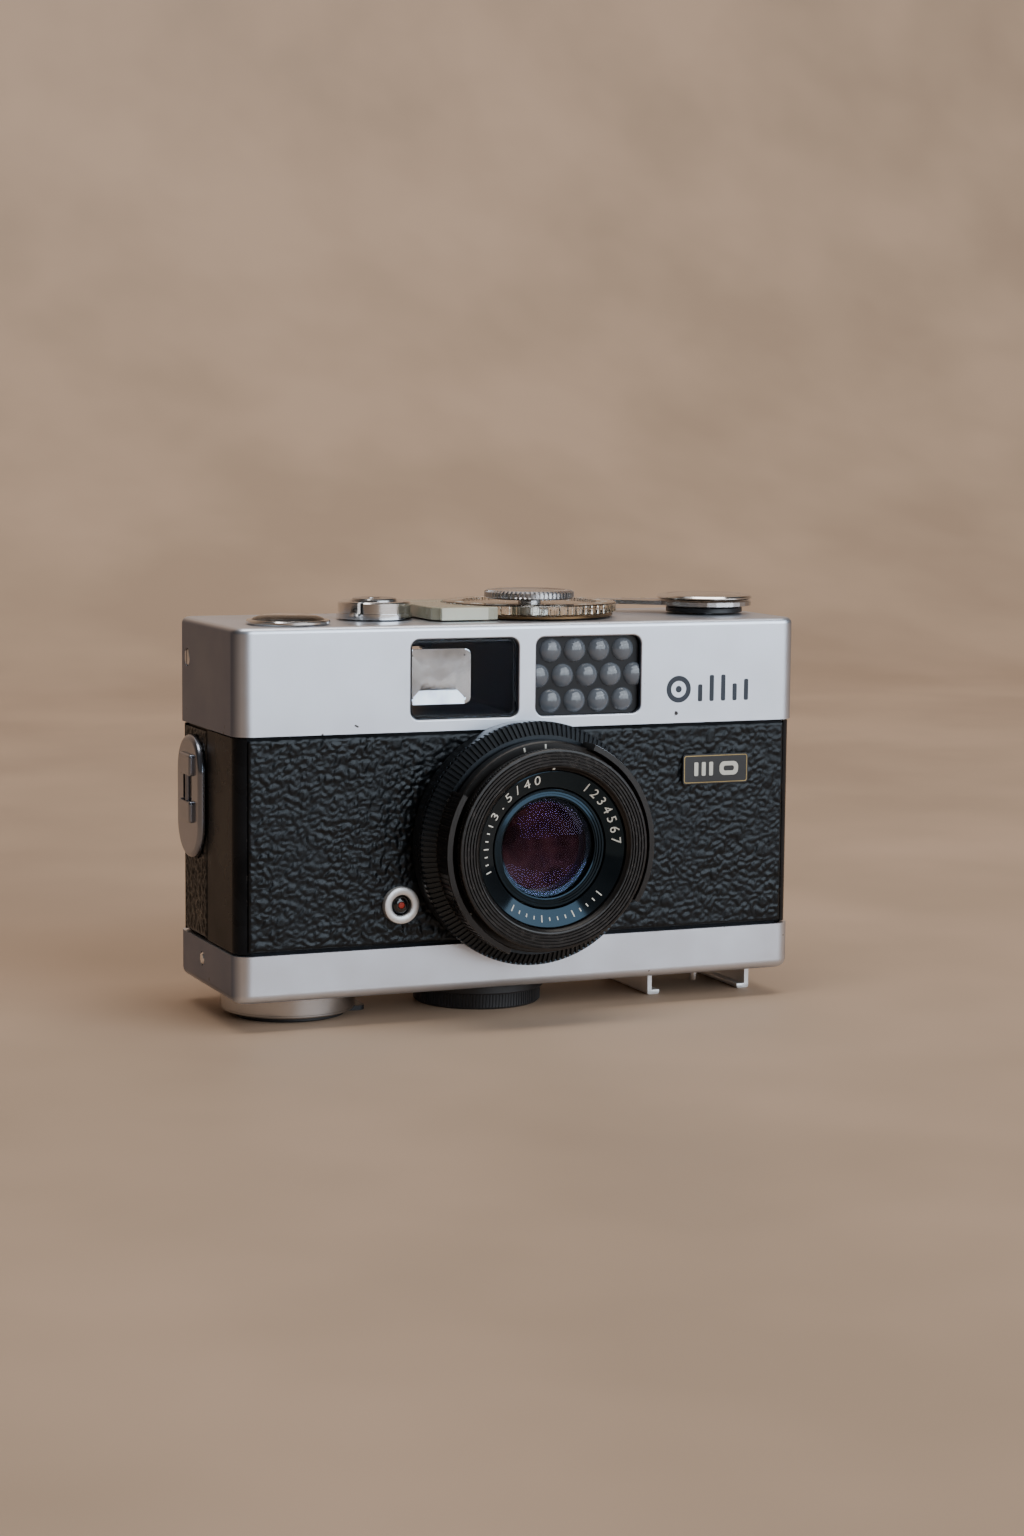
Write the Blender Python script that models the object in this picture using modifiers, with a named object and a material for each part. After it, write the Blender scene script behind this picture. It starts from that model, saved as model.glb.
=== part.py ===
"""Compact 35 mm viewfinder camera with a collapsible lens, as an assembly of separate pieces.

All sizes are in millimetres and are turned into metres when a mesh is made. The design frame
has x across the camera, y from the front face towards the back and z up from the underside of
the bottom cover. One empty, camera_origin, moves that frame so that the middle of the whole
object's footprint stands at the world origin.
"""

import math

import bmesh
import bpy
from mathutils import Matrix, Vector

MM = 0.001

# Body: the closed box without what stands out from it
BODY_WIDTH = 97.0
BODY_DEPTH = 30.7
BODY_HEIGHT = 58.6
CORNER = 2.8
WALL = 1.0
GAP = 0.3
FIT = 0.15
TOP_COVER_HEIGHT = 16.8
BOTTOM_COVER_HEIGHT = 7.6
FOOT_HEIGHT = 4.5
LEATHER = 0.45
PANEL = 1.2
PLATE = 0.7
PLATE_HALF = 14.5

# Film side
GATE_WIDTH = 36.0
GATE_HEIGHT = 24.0
CASSETTE_WIDTH = 25.4
PARTITION = 1.6
FILM_PLANE_INSET = 4.5
FILM_CHANNEL = 0.3

# Lens
LENS_X = -0.3
LENS_Z = 23.85
TUBE_RADIUS = 14.9
TUBE_WALL = 1.0
TUBE_DEPTH = 13.0
FLANGE_RADIUS = 19.2
FLANGE_LENGTH = 3.1
SPEED_RING_RADIUS = 19.5
APERTURE_RING_RADIUS = 16.8
GRIP_RADIUS = 17.8
HEAD_RADIUS = 15.94
LENS_LENGTH = 12.44
NAME_RADIUS = 12.5
CELL_RADIUS = 9.4
GLASS_RADIUS = 7.9
STOP_RADIUS = 4.3
BLADE_MARGIN = 6.9
BLADE_PIVOT_INSET = 3.4

# Windows in the top cover
FINDER_X = -10.6
FINDER_SIZE = (18.3, 12.6)
METER_X = 10.8
METER_SIZE = (18.4, 12.6)
WINDOW_DROP = 8.65
WINDOW_CORNER = 1.3
EYEPIECE_SIZE = (10.0, 8.0)

# Top plate, places as (x, y)
RELEASE_AT = (-20.6, 14.5)
COLLAR_RADIUS = 6.1
COLLAR_HEIGHT = 3.0
BUTTON_RADIUS = 3.6
COUNTER_INSET = (11.0, 7.5)
COUNTER_RADIUS = 6.6
DIAL_AT = (7.1, 16.0)
DIAL_RADIUS = 14.3
DIAL_HEIGHT = 2.2
KNOB_RADIUS = 7.4
SPOOL_SHIFT = 18.1
LEVER_RADIUS = 7.9
LEVER_REACH = 20.0
NEEDLE_AT = (-6.0, 23.0)

# Transport
SPROCKET_INSET = (5.8, 5.6)
SPOOL_FLANGE = 7.5
GEAR_TEETH = 16
TOOTH_HEIGHT = 1.3

# Underside
REWIND_SHIFT = 1.4
REWIND_RADIUS = 10.9
LOCK_X = -2.0
LOCK_RADIUS = 11.1
TRIPOD_RADIUS = 3.15
SHOE_INSET = (13.45, 16.5)
SHOE_WIDTH = 18.9
SHOE_LENGTH = 18.0
RAIL = 0.8
RAIL_FOOT = 3.0

# Left side and front
LUG_INSET = (8.7, 11.5)
LUG_SIZE = (12.1, 19.8)
LUG_OUT = 1.7
SYNC_SHIFT = (-21.05, -9.4)
SYNC_RADIUS = 2.95
BADGE_INSET = (14.9, 7.7)
BADGE_SIZE = (11.9, 4.9)
SCREW_RADIUS = 1.3

# Places worked out from the sizes above
HALF_WIDTH = BODY_WIDTH / 2
TOP = BODY_HEIGHT
TOP_LOW = BODY_HEIGHT - TOP_COVER_HEIGHT
BOTTOM_HIGH = BOTTOM_COVER_HEIGHT
SKIN_HALF = HALF_WIDTH - GAP
CORE_HALF = HALF_WIDTH - WALL - GAP
LEATHER_FACE = 0.12
SKIN_FRONT = LEATHER_FACE + LEATHER + GAP
CORE_FRONT = WALL + GAP
CORE_LOW = WALL + GAP
CORE_HIGH = TOP_LOW + 1.1
PANEL_BACK = BODY_DEPTH - LEATHER - GAP - 0.05
TONGUE_BACK = BODY_DEPTH - WALL - GAP
PANEL_FRONT = TONGUE_BACK - PANEL
BODY_BACK = PANEL_FRONT - GAP
FILM_PLANE = BODY_DEPTH - FILM_PLANE_INSET
CHAMBER_EDGE = GATE_WIDTH / 2 + 2.8
CHAMBER_TOP = TOP_LOW - 0.8
CASSETTE_LEFT = -CHAMBER_EDGE - CASSETTE_WIDTH
CHAMBER_FRONT = 2.3
NECK_RADIUS = TUBE_RADIUS + 1.0
GEAR_LOW = CORE_HIGH + 0.4
GEAR_HIGH = GEAR_LOW + 1.5
GRIP_START = 148.0
GRIP_ANGLE = 98.0

# Middles of the controls and fittings: (x, y) seen from above, (x, z) from the front, (y, z) on a side
MIDDLE_Y = BODY_DEPTH / 2 + 0.05
WINDOW_Z = TOP - WINDOW_DROP
COUNTER_AT = (COUNTER_INSET[0] - HALF_WIDTH, COUNTER_INSET[1])
LEVER_AT = (CHAMBER_EDGE + SPOOL_SHIFT, MIDDLE_Y)
SPROCKET_AT = (CHAMBER_EDGE + SPROCKET_INSET[0], FILM_PLANE - SPROCKET_INSET[1])
REWIND_AT = (-CHAMBER_EDGE - CASSETTE_WIDTH / 2 - REWIND_SHIFT, MIDDLE_Y)
LOCK_AT = (LOCK_X, MIDDLE_Y)
SHOE_AT = (HALF_WIDTH - SHOE_INSET[0], SHOE_INSET[1])
LUG_AT = (BODY_DEPTH - LUG_INSET[0], TOP_LOW - LUG_INSET[1])
SYNC_AT = (LENS_X + SYNC_SHIFT[0], LENS_Z + SYNC_SHIFT[1])
BADGE_AT = (HALF_WIDTH - BADGE_INSET[0], TOP_LOW - BADGE_INSET[1])

CAMERA = bpy.data.collections.new("compact_camera")
CUTTERS = bpy.data.collections.new("cutters")


def clear_scene():
    for old in list(bpy.data.objects):
        bpy.data.objects.remove(old, do_unlink=True)
    bpy.context.scene.collection.children.link(CAMERA)
    bpy.context.scene.collection.children.link(CUTTERS)


def make_material(name, colour, roughness, metallic=0.0, glassy=0.0):
    material = bpy.data.materials.new(name)
    material.use_nodes = True
    shader = material.node_tree.nodes["Principled BSDF"]
    shader.inputs["Base Color"].default_value = (*colour, 1.0)
    shader.inputs["Roughness"].default_value = roughness
    shader.inputs["Metallic"].default_value = metallic
    shader.inputs["Transmission Weight"].default_value = glassy
    material.diffuse_color = (*colour, 1.0)
    return material


def make_empty(name, at=(0.0, 0.0, 0.0), turn=(0.0, 0.0, 0.0), parent=None):
    empty = bpy.data.objects.new(name, None)
    empty.location = Vector(at) * MM
    empty.rotation_euler = [math.radians(a) for a in turn]
    empty.parent = parent
    CAMERA.objects.link(empty)
    return empty


def add_object(name, mesh, material=None, parent=None, at=(0.0, 0.0, 0.0)):
    """An object of the model, or a cutter where it has no material."""
    item = bpy.data.objects.new(name, mesh)
    item.location = Vector(at) * MM
    item.parent = parent
    if material:
        mesh.materials.append(material)
        CAMERA.objects.link(item)
    else:
        CUTTERS.objects.link(item)
        item.hide_render = True
        item.display_type = "WIRE"
    return item


def block_mesh(low, high, corner=0.0, rim=0.0, axis=2, rim_side=1):
    """A box between two corners, with round edges along one axis and a round rim at one end."""
    bm = bmesh.new()
    bmesh.ops.create_cube(bm, size=1.0)
    size = [h - l for l, h in zip(low, high)]
    middle = [(h + l) / 2 for l, h in zip(low, high)]
    bmesh.ops.scale(bm, vec=Vector(size) * MM, verts=bm.verts)
    bmesh.ops.translate(bm, vec=Vector(middle) * MM, verts=bm.verts)
    if corner:
        along = [e for e in bm.edges if is_along(e, axis)]
        bmesh.ops.bevel(bm, geom=along, offset=corner * MM, segments=4, profile=0.5, affect="EDGES")
    if rim:
        end = (high if rim_side > 0 else low)[axis] * MM
        around = [e for e in bm.edges if all(abs(v.co[axis] - end) < 1e-7 for v in e.verts)]
        bmesh.ops.bevel(bm, geom=around, offset=rim * MM, segments=3, profile=0.5, affect="EDGES")
    return mesh_from(bm)


def is_along(edge, axis):
    step = edge.verts[1].co - edge.verts[0].co
    return abs(step[axis]) > 0.999 * step.length


def mesh_from(bm, smooth_angle=35.0):
    bmesh.ops.recalc_face_normals(bm, faces=bm.faces)
    mesh = bpy.data.meshes.new("piece")
    bm.to_mesh(mesh)
    bm.free()
    mesh.shade_smooth()
    mesh.set_sharp_from_angle(angle=math.radians(smooth_angle))
    return mesh


def baked(item):
    """The evaluated mesh of an object whose loose caps and seams are joined."""
    graph = bpy.context.evaluated_depsgraph_get()
    mesh = bpy.data.meshes.new_from_object(item.evaluated_get(graph))
    data = item.data
    bpy.data.objects.remove(item, do_unlink=True)
    if isinstance(data, bpy.types.Mesh):
        bpy.data.meshes.remove(data)
    else:
        bpy.data.curves.remove(data)
    bm = bmesh.new()
    bm.from_mesh(mesh)
    bpy.data.meshes.remove(mesh)
    bmesh.ops.remove_doubles(bm, verts=bm.verts, dist=1e-6)
    bmesh.ops.dissolve_degenerate(bm, edges=bm.edges, dist=1e-7)
    return mesh_from(bm)


def turned_mesh(profile, steps=32, axis="Z"):
    """A closed (radius, height) outline turned about an axis: Z up, or Y or X outwards."""
    points = [(r if r > 1e-6 else 0.0, h) for r, h in profile]
    area = sum(a[0] * b[1] - b[0] * a[1] for a, b in zip(points, points[1:] + points[:1]))
    if area > 0:
        points.reverse()
    on_axis = [i for i, p in enumerate(points) if p[0] == 0]
    closed = not on_axis
    if on_axis:
        first = next(i for i in on_axis if points[i - 1][0] == 0)
        points = points[first:] + points[:first]
    bm = bmesh.new()
    verts = [bm.verts.new((r * MM, 0.0, h * MM)) for r, h in points]
    for a, b in zip(verts, verts[1:]):
        bm.edges.new((a, b))
    if closed:
        bm.edges.new((verts[-1], verts[0]))
    mesh = bpy.data.meshes.new("profile")
    bm.to_mesh(mesh)
    bm.free()
    item = bpy.data.objects.new("profile", mesh)
    bpy.context.scene.collection.objects.link(item)
    screw = item.modifiers.new("turn", "SCREW")
    screw.axis = "Z"
    screw.steps = steps
    screw.render_steps = steps
    screw.use_merge_vertices = True
    screw.merge_threshold = 1e-6
    result = baked(item)
    if axis == "Y":
        result.transform(Matrix.Rotation(math.radians(90), 4, "X"))
    if axis == "X":
        result.transform(Matrix.Rotation(math.radians(-90), 4, "Y"))
    return result


def ring_mesh(outer, inner, low, high, steps=32, axis="Z"):
    return turned_mesh([(outer, high), (outer, low), (inner, low), (inner, high)], steps, axis)


def disc_mesh(radius, low, high, steps=32, axis="Z"):
    return turned_mesh([(0, high), (radius, high), (radius, low), (0, low)], steps, axis)


def outline_mesh(points, low, high):
    """A flat closed outline with a thickness, from low to high along Z."""
    curve = bpy.data.curves.new("outline", "CURVE")
    curve.dimensions = "2D"
    curve.fill_mode = "BOTH"
    curve.extrude = (high - low) / 2 * MM
    spline = curve.splines.new("POLY")
    spline.points.add(len(points) - 1)
    for point, (x, y) in zip(spline.points, points):
        point.co = (x * MM, y * MM, 0.0, 1.0)
    spline.use_cyclic_u = True
    item = bpy.data.objects.new("outline", curve)
    bpy.context.scene.collection.objects.link(item)
    result = baked(item)
    result.transform(Matrix.Translation((0.0, 0.0, (low + high) / 2 * MM)))
    return result


def arc(radius, start, end, count, centre=(0.0, 0.0)):
    """Points along an arc, angles in degrees."""
    angles = [math.radians(start + (end - start) * i / count) for i in range(count + 1)]
    return [(centre[0] + radius * math.cos(a), centre[1] + radius * math.sin(a)) for a in angles]


def flute(mesh, steps, depth, low, high, radius):
    """Knurling: every second line of points on the outer wall moves in."""
    for vertex in mesh.vertices:
        x, y, z = vertex.co / MM
        r = math.hypot(x, y)
        step = round(math.atan2(y, x) / (2 * math.pi) * steps)
        if step % 2 and r > radius and low < z < high:
            vertex.co.x *= (r - depth) / r
            vertex.co.y *= (r - depth) / r


def wheel_outline(teeth, root, tip, first_tooth=0.0, share=0.28):
    """A toothed wheel's outline with straight-sided teeth."""
    pitch = 360.0 / teeth
    points = []
    for tooth in range(teeth):
        middle = first_tooth + tooth * pitch
        for offset, radius in ((-0.5, root), (-0.25, tip), (0.25, tip), (0.5, root)):
            angle = math.radians(middle + offset * share * 2 * pitch)
            points.append((radius * math.cos(angle), radius * math.sin(angle)))
    return points


def combine(item, operation, mesh, at=(0.0, 0.0, 0.0)):
    """A live Boolean between an object and a cutter that shares its parent."""
    count = len(item.modifiers)
    cutter = add_object(f"{item.name}_{operation.lower()}_{count}", mesh, None, item.parent, at)
    step = item.modifiers.new(f"{operation.lower()}_{count}", "BOOLEAN")
    step.operation = operation
    step.solver = "EXACT"
    step.object = cutter


def cut(item, mesh, at=(0.0, 0.0, 0.0)):
    combine(item, "DIFFERENCE", mesh, at)


def join(item, mesh, at=(0.0, 0.0, 0.0)):
    combine(item, "UNION", mesh, at)


def window_mesh(centre_x, size, y_low, y_high, grow=0.0):
    """A block with round corners that fills a window in the front wall."""
    half_x = size[0] / 2 + grow
    half_z = size[1] / 2 + grow
    low = (centre_x - half_x, y_low, WINDOW_Z - half_z)
    high = (centre_x + half_x, y_high, WINDOW_Z + half_z)
    return block_mesh(low, high, corner=WINDOW_CORNER + grow, axis=1)


def make_top_cover(root, metal):
    low = (-HALF_WIDTH, 0.0, TOP_LOW)
    cover = add_object("top_cover", block_mesh(low, (HALF_WIDTH, BODY_DEPTH, TOP), CORNER, 0.9), metal, root)
    inside = block_mesh(
        (-HALF_WIDTH + WALL, WALL, TOP_LOW - 1.0),
        (HALF_WIDTH - WALL, BODY_DEPTH - WALL, TOP - WALL),
        CORNER - WALL,
    )
    cut(cover, inside)
    cut(cover, window_mesh(FINDER_X, FINDER_SIZE, -1.0, 2.0))
    cut(cover, window_mesh(METER_X, METER_SIZE, -1.0, 2.0))
    cut(cover, window_mesh(FINDER_X, EYEPIECE_SIZE, BODY_DEPTH - 2.0, BODY_DEPTH + 1.0))
    through = (TOP - 3.0, TOP + 1.0)
    holes = (
        (RELEASE_AT, BUTTON_RADIUS + 1.3),
        (COUNTER_AT, COUNTER_RADIUS - 1.6),
        (LEVER_AT, 2.3),
        (DIAL_AT, 2.2),
    )
    for (x, y), radius in holes:
        cut(cover, disc_mesh(radius, *through, steps=32), (x, y, 0.0))
    slot = block_mesh((-12.0, 9.5, TOP - 3.0), (-9.0, 20.5, TOP + 1.0), 1.0)
    cut(cover, slot)
    for side in (-1, 1):
        hole = disc_mesh(SCREW_RADIUS + FIT, -2.0, 2.0, steps=24, axis="X")
        cut(cover, hole, (side * HALF_WIDTH, BODY_DEPTH - 5.2, TOP - 6.3))


def make_body_frame(root, black):
    """The casting: skin, core, film chambers, light box and the deck for the transport."""
    skin = block_mesh(
        (-SKIN_HALF, GAP, BOTTOM_HIGH + GAP), (SKIN_HALF, BODY_DEPTH, TOP_LOW - GAP), CORNER
    )
    frame = add_object("body_frame", skin, black, root)
    join(frame, block_mesh((-CORE_HALF, CORE_FRONT, CORE_LOW), (CORE_HALF, 20.0, CORE_HIGH), CORNER - WALL))
    join(frame, block_mesh((-CORE_HALF, 15.0, CORE_LOW), (CORE_HALF, BODY_BACK, CORE_HIGH)))
    cut(frame, block_mesh((-60.0, BODY_BACK, -5.0), (60.0, 40.0, 60.0)))
    # chambers for the cassette, open underneath, and for the wound film
    cut(frame, block_mesh((CASSETTE_LEFT, CHAMBER_FRONT, 0.0), (-CHAMBER_EDGE, 40.0, CHAMBER_TOP)))
    cut(frame, block_mesh((CHAMBER_EDGE, CHAMBER_FRONT, 2.6), (CORE_HALF - 0.6, 40.0, CHAMBER_TOP)))
    # light box behind the lens, the gate and the channel for the film and the pressure plate
    light = CHAMBER_EDGE - PARTITION
    cut(frame, block_mesh((-light, 11.0, 8.4), (light, FILM_PLANE - 1.0, CHAMBER_TOP - 0.6)))
    gate_low = (-GATE_WIDTH / 2, 20.0, LENS_Z - GATE_HEIGHT / 2)
    gate_high = (GATE_WIDTH / 2, 40.0, LENS_Z + GATE_HEIGHT / 2)
    cut(frame, block_mesh(gate_low, gate_high, 0.6, axis=1))
    cut(frame, block_mesh((-CHAMBER_EDGE - 1.0, FILM_PLANE, 0.0), (CHAMBER_EDGE + 1.0, 40.0, CHAMBER_TOP)))
    cut(frame, disc_mesh(NECK_RADIUS + GAP, -12.0, 5.0, steps=64, axis="Y"), (LENS_X, 0.0, LENS_Z))
    # pockets for the leather on the front and on both sides
    cut(frame, block_mesh((-HALF_WIDTH + 2.0, -1.0, 0.0), (HALF_WIDTH - 2.0, SKIN_FRONT, TOP_LOW + 1.0)))
    for side in (-1, 1):
        low_x = min(side * (SKIN_HALF - LEATHER), side * 60.0)
        high_x = max(side * (SKIN_HALF - LEATHER), side * 60.0)
        cut(frame, block_mesh((low_x, 15.6, 0.0), (high_x, BODY_BACK - 0.4, TOP_LOW - 0.2)))
    cut(frame, disc_mesh(1.8, -8.0, 2.0, steps=24, axis="Y"), (SYNC_AT[0], 0.0, SYNC_AT[1]))
    # deck: shaft holes and the post under the shutter release
    cut(frame, disc_mesh(1.9, 38.0, 50.0, steps=24), (*LEVER_AT, 0.0))
    cut(frame, disc_mesh(1.7, 38.0, 50.0, steps=24), (*SPROCKET_AT, 0.0))
    join(frame, disc_mesh(1.8, CORE_HIGH - 1.0, TOP - 5.8, steps=24), (*RELEASE_AT, 0.0))
    cut(frame, disc_mesh(1.25, CORE_HIGH + 2.6, TOP, steps=24), (*RELEASE_AT, 0.0))


def make_leather(root, back, leather):
    low_z = BOTTOM_HIGH + 2 * GAP
    high_z = TOP_LOW - 2 * GAP
    half = HALF_WIDTH - 2.2
    near = 4.0
    for name, start, end in (
        ("front_leather_left", -half, LENS_X - near),
        ("front_leather_right", LENS_X + near, half),
    ):
        front = block_mesh((start, LEATHER_FACE, low_z), (end, LEATHER_FACE + LEATHER, high_z))
        skin = add_object(name, front, leather, root)
        around = disc_mesh(FLANGE_RADIUS + 0.4, -5.0, 5.0, steps=64, axis="Y")
        cut(skin, around, (LENS_X, 0.0, LENS_Z))
        if start < SYNC_AT[0] < end:
            hole = disc_mesh(SYNC_RADIUS + GAP, -5.0, 5.0, steps=32, axis="Y")
            cut(skin, hole, (SYNC_AT[0], 0.0, SYNC_AT[1]))
    for side, name in ((-1, "side_leather_left"), (1, "side_leather_right")):
        inner = side * (SKIN_HALF - LEATHER + 0.25)
        outer = side * (SKIN_HALF + 0.25)
        low = (min(inner, outer), 15.9, low_z)
        high = (max(inner, outer), BODY_BACK - 0.7, high_z)
        add_object(name, block_mesh(low, high), leather, root)
    rear = block_mesh(
        (-HALF_WIDTH + 3.2, BODY_DEPTH - LEATHER - 0.05, low_z),
        (HALF_WIDTH - 3.2, BODY_DEPTH - 0.05, high_z),
        0.8,
        axis=1,
    )
    add_object("back_leather", rear, leather, back)


def make_finder(root, black, glass):
    window = window_mesh(FINDER_X, FINDER_SIZE, 0.4, 1.2, grow=-FIT)
    add_object("viewfinder_window", window, glass, root)
    tunnel = taper_mesh(FINDER_SIZE, EYEPIECE_SIZE, 1.6, BODY_DEPTH - 3.0, 0.0)
    body = add_object("viewfinder_tunnel", tunnel, black, root, (FINDER_X, 0.0, WINDOW_Z))
    cut(body, taper_mesh(FINDER_SIZE, EYEPIECE_SIZE, 1.4, BODY_DEPTH - 2.8, 0.6), (FINDER_X, 0.0, WINDOW_Z))
    ring = window_mesh(FINDER_X, EYEPIECE_SIZE, BODY_DEPTH - 2.4, BODY_DEPTH + 0.25, grow=-FIT)
    frame = add_object("eyepiece_frame", ring, black, root)
    cut(frame, window_mesh(FINDER_X, EYEPIECE_SIZE, 20.0, 40.0, grow=-1.1))
    lens = window_mesh(FINDER_X, EYEPIECE_SIZE, BODY_DEPTH - 1.9, BODY_DEPTH - 0.5, grow=-1.3)
    add_object("eyepiece_lens", lens, glass, root)


def taper_mesh(front, rear, y_low, y_high, wall):
    """A square funnel from the front window's size down to the eyepiece's size."""
    bm = bmesh.new()
    bmesh.ops.create_cube(bm, size=1.0)
    for vertex in bm.verts:
        size = front if vertex.co.y < 0 else rear
        vertex.co.x *= (size[0] - 2 * wall) * MM
        vertex.co.z *= (size[1] - 2 * wall) * MM
        vertex.co.y = (y_low if vertex.co.y < 0 else y_high) * MM
    return mesh_from(bm)


def make_meter(root, clear, ivory, cell, housing, metal, red):
    plate = add_object("meter_window", window_mesh(METER_X, METER_SIZE, 0.9, 1.8, grow=-FIT), clear, root)
    join(plate, bubbles_mesh())
    cell_plate = window_mesh(METER_X, METER_SIZE, 2.2, 3.4, grow=0.4)
    add_object("selenium_cell", cell_plate, cell, root)
    low = TOP + 0.25
    high = TOP + 2.3
    outline = [(-3.0, 5.0), (-3.0, 27.0), (-11.4, 27.0), (-13.8, 22.0), (-13.8, 9.0), (-12.0, 5.0)]
    case = add_object("meter_housing", outline_mesh(outline, low, high), housing, root)
    cut(case, disc_mesh(DIAL_RADIUS + GAP, TOP - 1.0, TOP + 6.0, steps=64), (*DIAL_AT, 0.0))
    cut(case, block_mesh((-13.0, 0.0, TOP - 1.0), (0.0, 7.4, TOP + 6.0)))
    bar = block_mesh((-12.7, 4.9, low), (-4.7, 7.1, high - 0.1), 0.15)
    add_object("meter_light_bar", bar, ivory, root)

    pin = make_empty("needle_pivot", (*NEEDLE_AT, 0.0), parent=root)
    points = [(-0.5, -0.4), (0.5, 0.4), (-4.2, -11.0), (-4.5, -10.8)]
    needle = add_object("meter_needle", outline_mesh(points, TOP - 1.65, TOP - 1.35), red, pin)
    join(needle, disc_mesh(0.9, TOP - 3.2, TOP - 1.35, steps=16))

    centre = make_empty("dial_pivot", (*DIAL_AT, 0.0), parent=root)
    ribs = 40
    edge = [
        (DIAL_RADIUS, TOP + GAP),
        (DIAL_RADIUS, TOP + GAP + DIAL_HEIGHT - 0.4),
        (DIAL_RADIUS - 0.4, TOP + GAP + DIAL_HEIGHT),
        (2.2, TOP + GAP + DIAL_HEIGHT),
        (2.2, TOP + GAP),
    ]
    dial = turned_mesh(edge, steps=ribs)
    flute(dial, ribs, 0.45, TOP, TOP + 9.0, DIAL_RADIUS - 0.8)
    add_object("calculator_dial", dial, clear, centre)
    knurls = 32
    knob_low = TOP + GAP + DIAL_HEIGHT + 0.4
    edge = [
        (0, knob_low + 1.4),
        (KNOB_RADIUS - 0.9, knob_low + 1.4),
        (KNOB_RADIUS - 0.2, knob_low + 1.15),
        (KNOB_RADIUS, knob_low + 0.9),
        (KNOB_RADIUS, knob_low + 0.3),
        (KNOB_RADIUS - 0.7, knob_low),
        (1.9, knob_low),
        (1.9, TOP - 2.0),
        (0, TOP - 2.0),
    ]
    knob = turned_mesh(edge, steps=knurls)
    flute(knob, knurls, 0.35, knob_low + 0.1, knob_low + 1.3, KNOB_RADIUS - 0.4)
    add_object("calculator_knob", knob, metal, centre)


def bubbles_mesh():
    """The rows of small domes moulded on the meter window."""
    bm = bmesh.new()
    pitch_x = METER_SIZE[0] / 4.35
    pitch_z = METER_SIZE[1] / 3.1
    for row, count in ((-1, 4), (0, 3), (1, 4)):
        for index in range(count):
            x = METER_X + (index - (count - 1) / 2) * pitch_x
            place = Matrix.Translation(Vector((x, 1.5, WINDOW_Z + row * pitch_z)) * MM)
            turn = Matrix.Rotation(math.radians(90), 4, "X")
            bmesh.ops.create_uvsphere(
                bm, u_segments=8, v_segments=4, radius=1.85 * MM, matrix=place @ turn
            )
    cut_back = [f for f in bm.faces if f.calc_center_median().y > 1.55 * MM]
    bmesh.ops.delete(bm, geom=cut_back, context="FACES")
    bmesh.ops.holes_fill(bm, edges=[e for e in bm.edges if e.is_boundary], sides=0)
    return mesh_from(bm)


def make_release(root, steel, wire):
    at = make_empty("release_pivot", (*RELEASE_AT, 0.0), parent=root)
    collar = [
        (COLLAR_RADIUS - 0.25, TOP + COLLAR_HEIGHT),
        (COLLAR_RADIUS, TOP + COLLAR_HEIGHT - 0.25),
        (COLLAR_RADIUS, TOP + 0.25),
        (BUTTON_RADIUS + 1.0, TOP + 0.25),
        (BUTTON_RADIUS + 1.0, TOP - 1.6),
        (BUTTON_RADIUS + 0.3, TOP - 1.6),
        (BUTTON_RADIUS + 0.3, TOP + COLLAR_HEIGHT),
    ]
    ring = add_object("release_collar", turned_mesh(collar), steel, at)
    slit = block_mesh((-COLLAR_RADIUS - 1.0, -4.6, TOP + 0.9), (-1.0, -4.0, TOP + 6.0))
    cut(ring, slit)
    top = TOP + COLLAR_HEIGHT + 0.5
    button = [
        (0, top - 0.15),
        (BUTTON_RADIUS - 1.0, top),
        (BUTTON_RADIUS - 0.2, top),
        (BUTTON_RADIUS, top - 0.2),
        (BUTTON_RADIUS, TOP + 0.2),
        (0.95, TOP + 0.2),
        (0.95, TOP - 1.5),
        (1.9, TOP - 1.5),
        (1.9, TOP - 1.9),
        (0.95, TOP - 1.9),
        (0.95, TOP - 9.0),
        (0, TOP - 9.0),
    ]
    add_object("release_button", turned_mesh(button, steps=24), steel, at)
    add_object("release_spring", coil_mesh(1.4, 0.16, TOP - 5.3, TOP - 2.2, 5), wire, at)


def coil_mesh(radius, wire, low, high, turns):
    curve = bpy.data.curves.new("coil", "CURVE")
    curve.dimensions = "3D"
    curve.bevel_depth = wire * MM
    curve.bevel_resolution = 0
    curve.use_fill_caps = True
    count = turns * 8
    spline = curve.splines.new("POLY")
    spline.points.add(count)
    for index, point in enumerate(spline.points):
        angle = 2 * math.pi * index / 8
        height = low + (high - low) * index / count
        point.co = (radius * math.cos(angle) * MM, radius * math.sin(angle) * MM, height * MM, 1.0)
    item = bpy.data.objects.new("coil", curve)
    bpy.context.scene.collection.objects.link(item)
    return baked(item)


def make_counter(root, glass, white):
    at = make_empty("counter_pivot", (*COUNTER_AT, 0.0), parent=root)
    rise = 1.2
    dome = [(COUNTER_RADIUS * math.cos(a), TOP + 0.45 + rise * math.sin(a)) for a in quarter(4)]
    rim = [(0, TOP + 0.25), (COUNTER_RADIUS, TOP + 0.25)]
    add_object("counter_window", turned_mesh(dome[::-1] + rim[::-1]), glass, at)
    disc = [
        (0, TOP - 1.4),
        (5.6, TOP - 1.4),
        (5.6, TOP - 2.0),
        (0.8, TOP - 2.0),
        (0.8, TOP - 4.0),
        (0, TOP - 4.0),
    ]
    add_object("counter_disc", turned_mesh(disc, steps=24), white, at)


def quarter(count):
    """Angles from the rim of a dome to its top, the last one exactly a right angle."""
    steps = [math.pi / 2 * i / count for i in range(count)]
    return [*steps, math.pi / 2]


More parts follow.
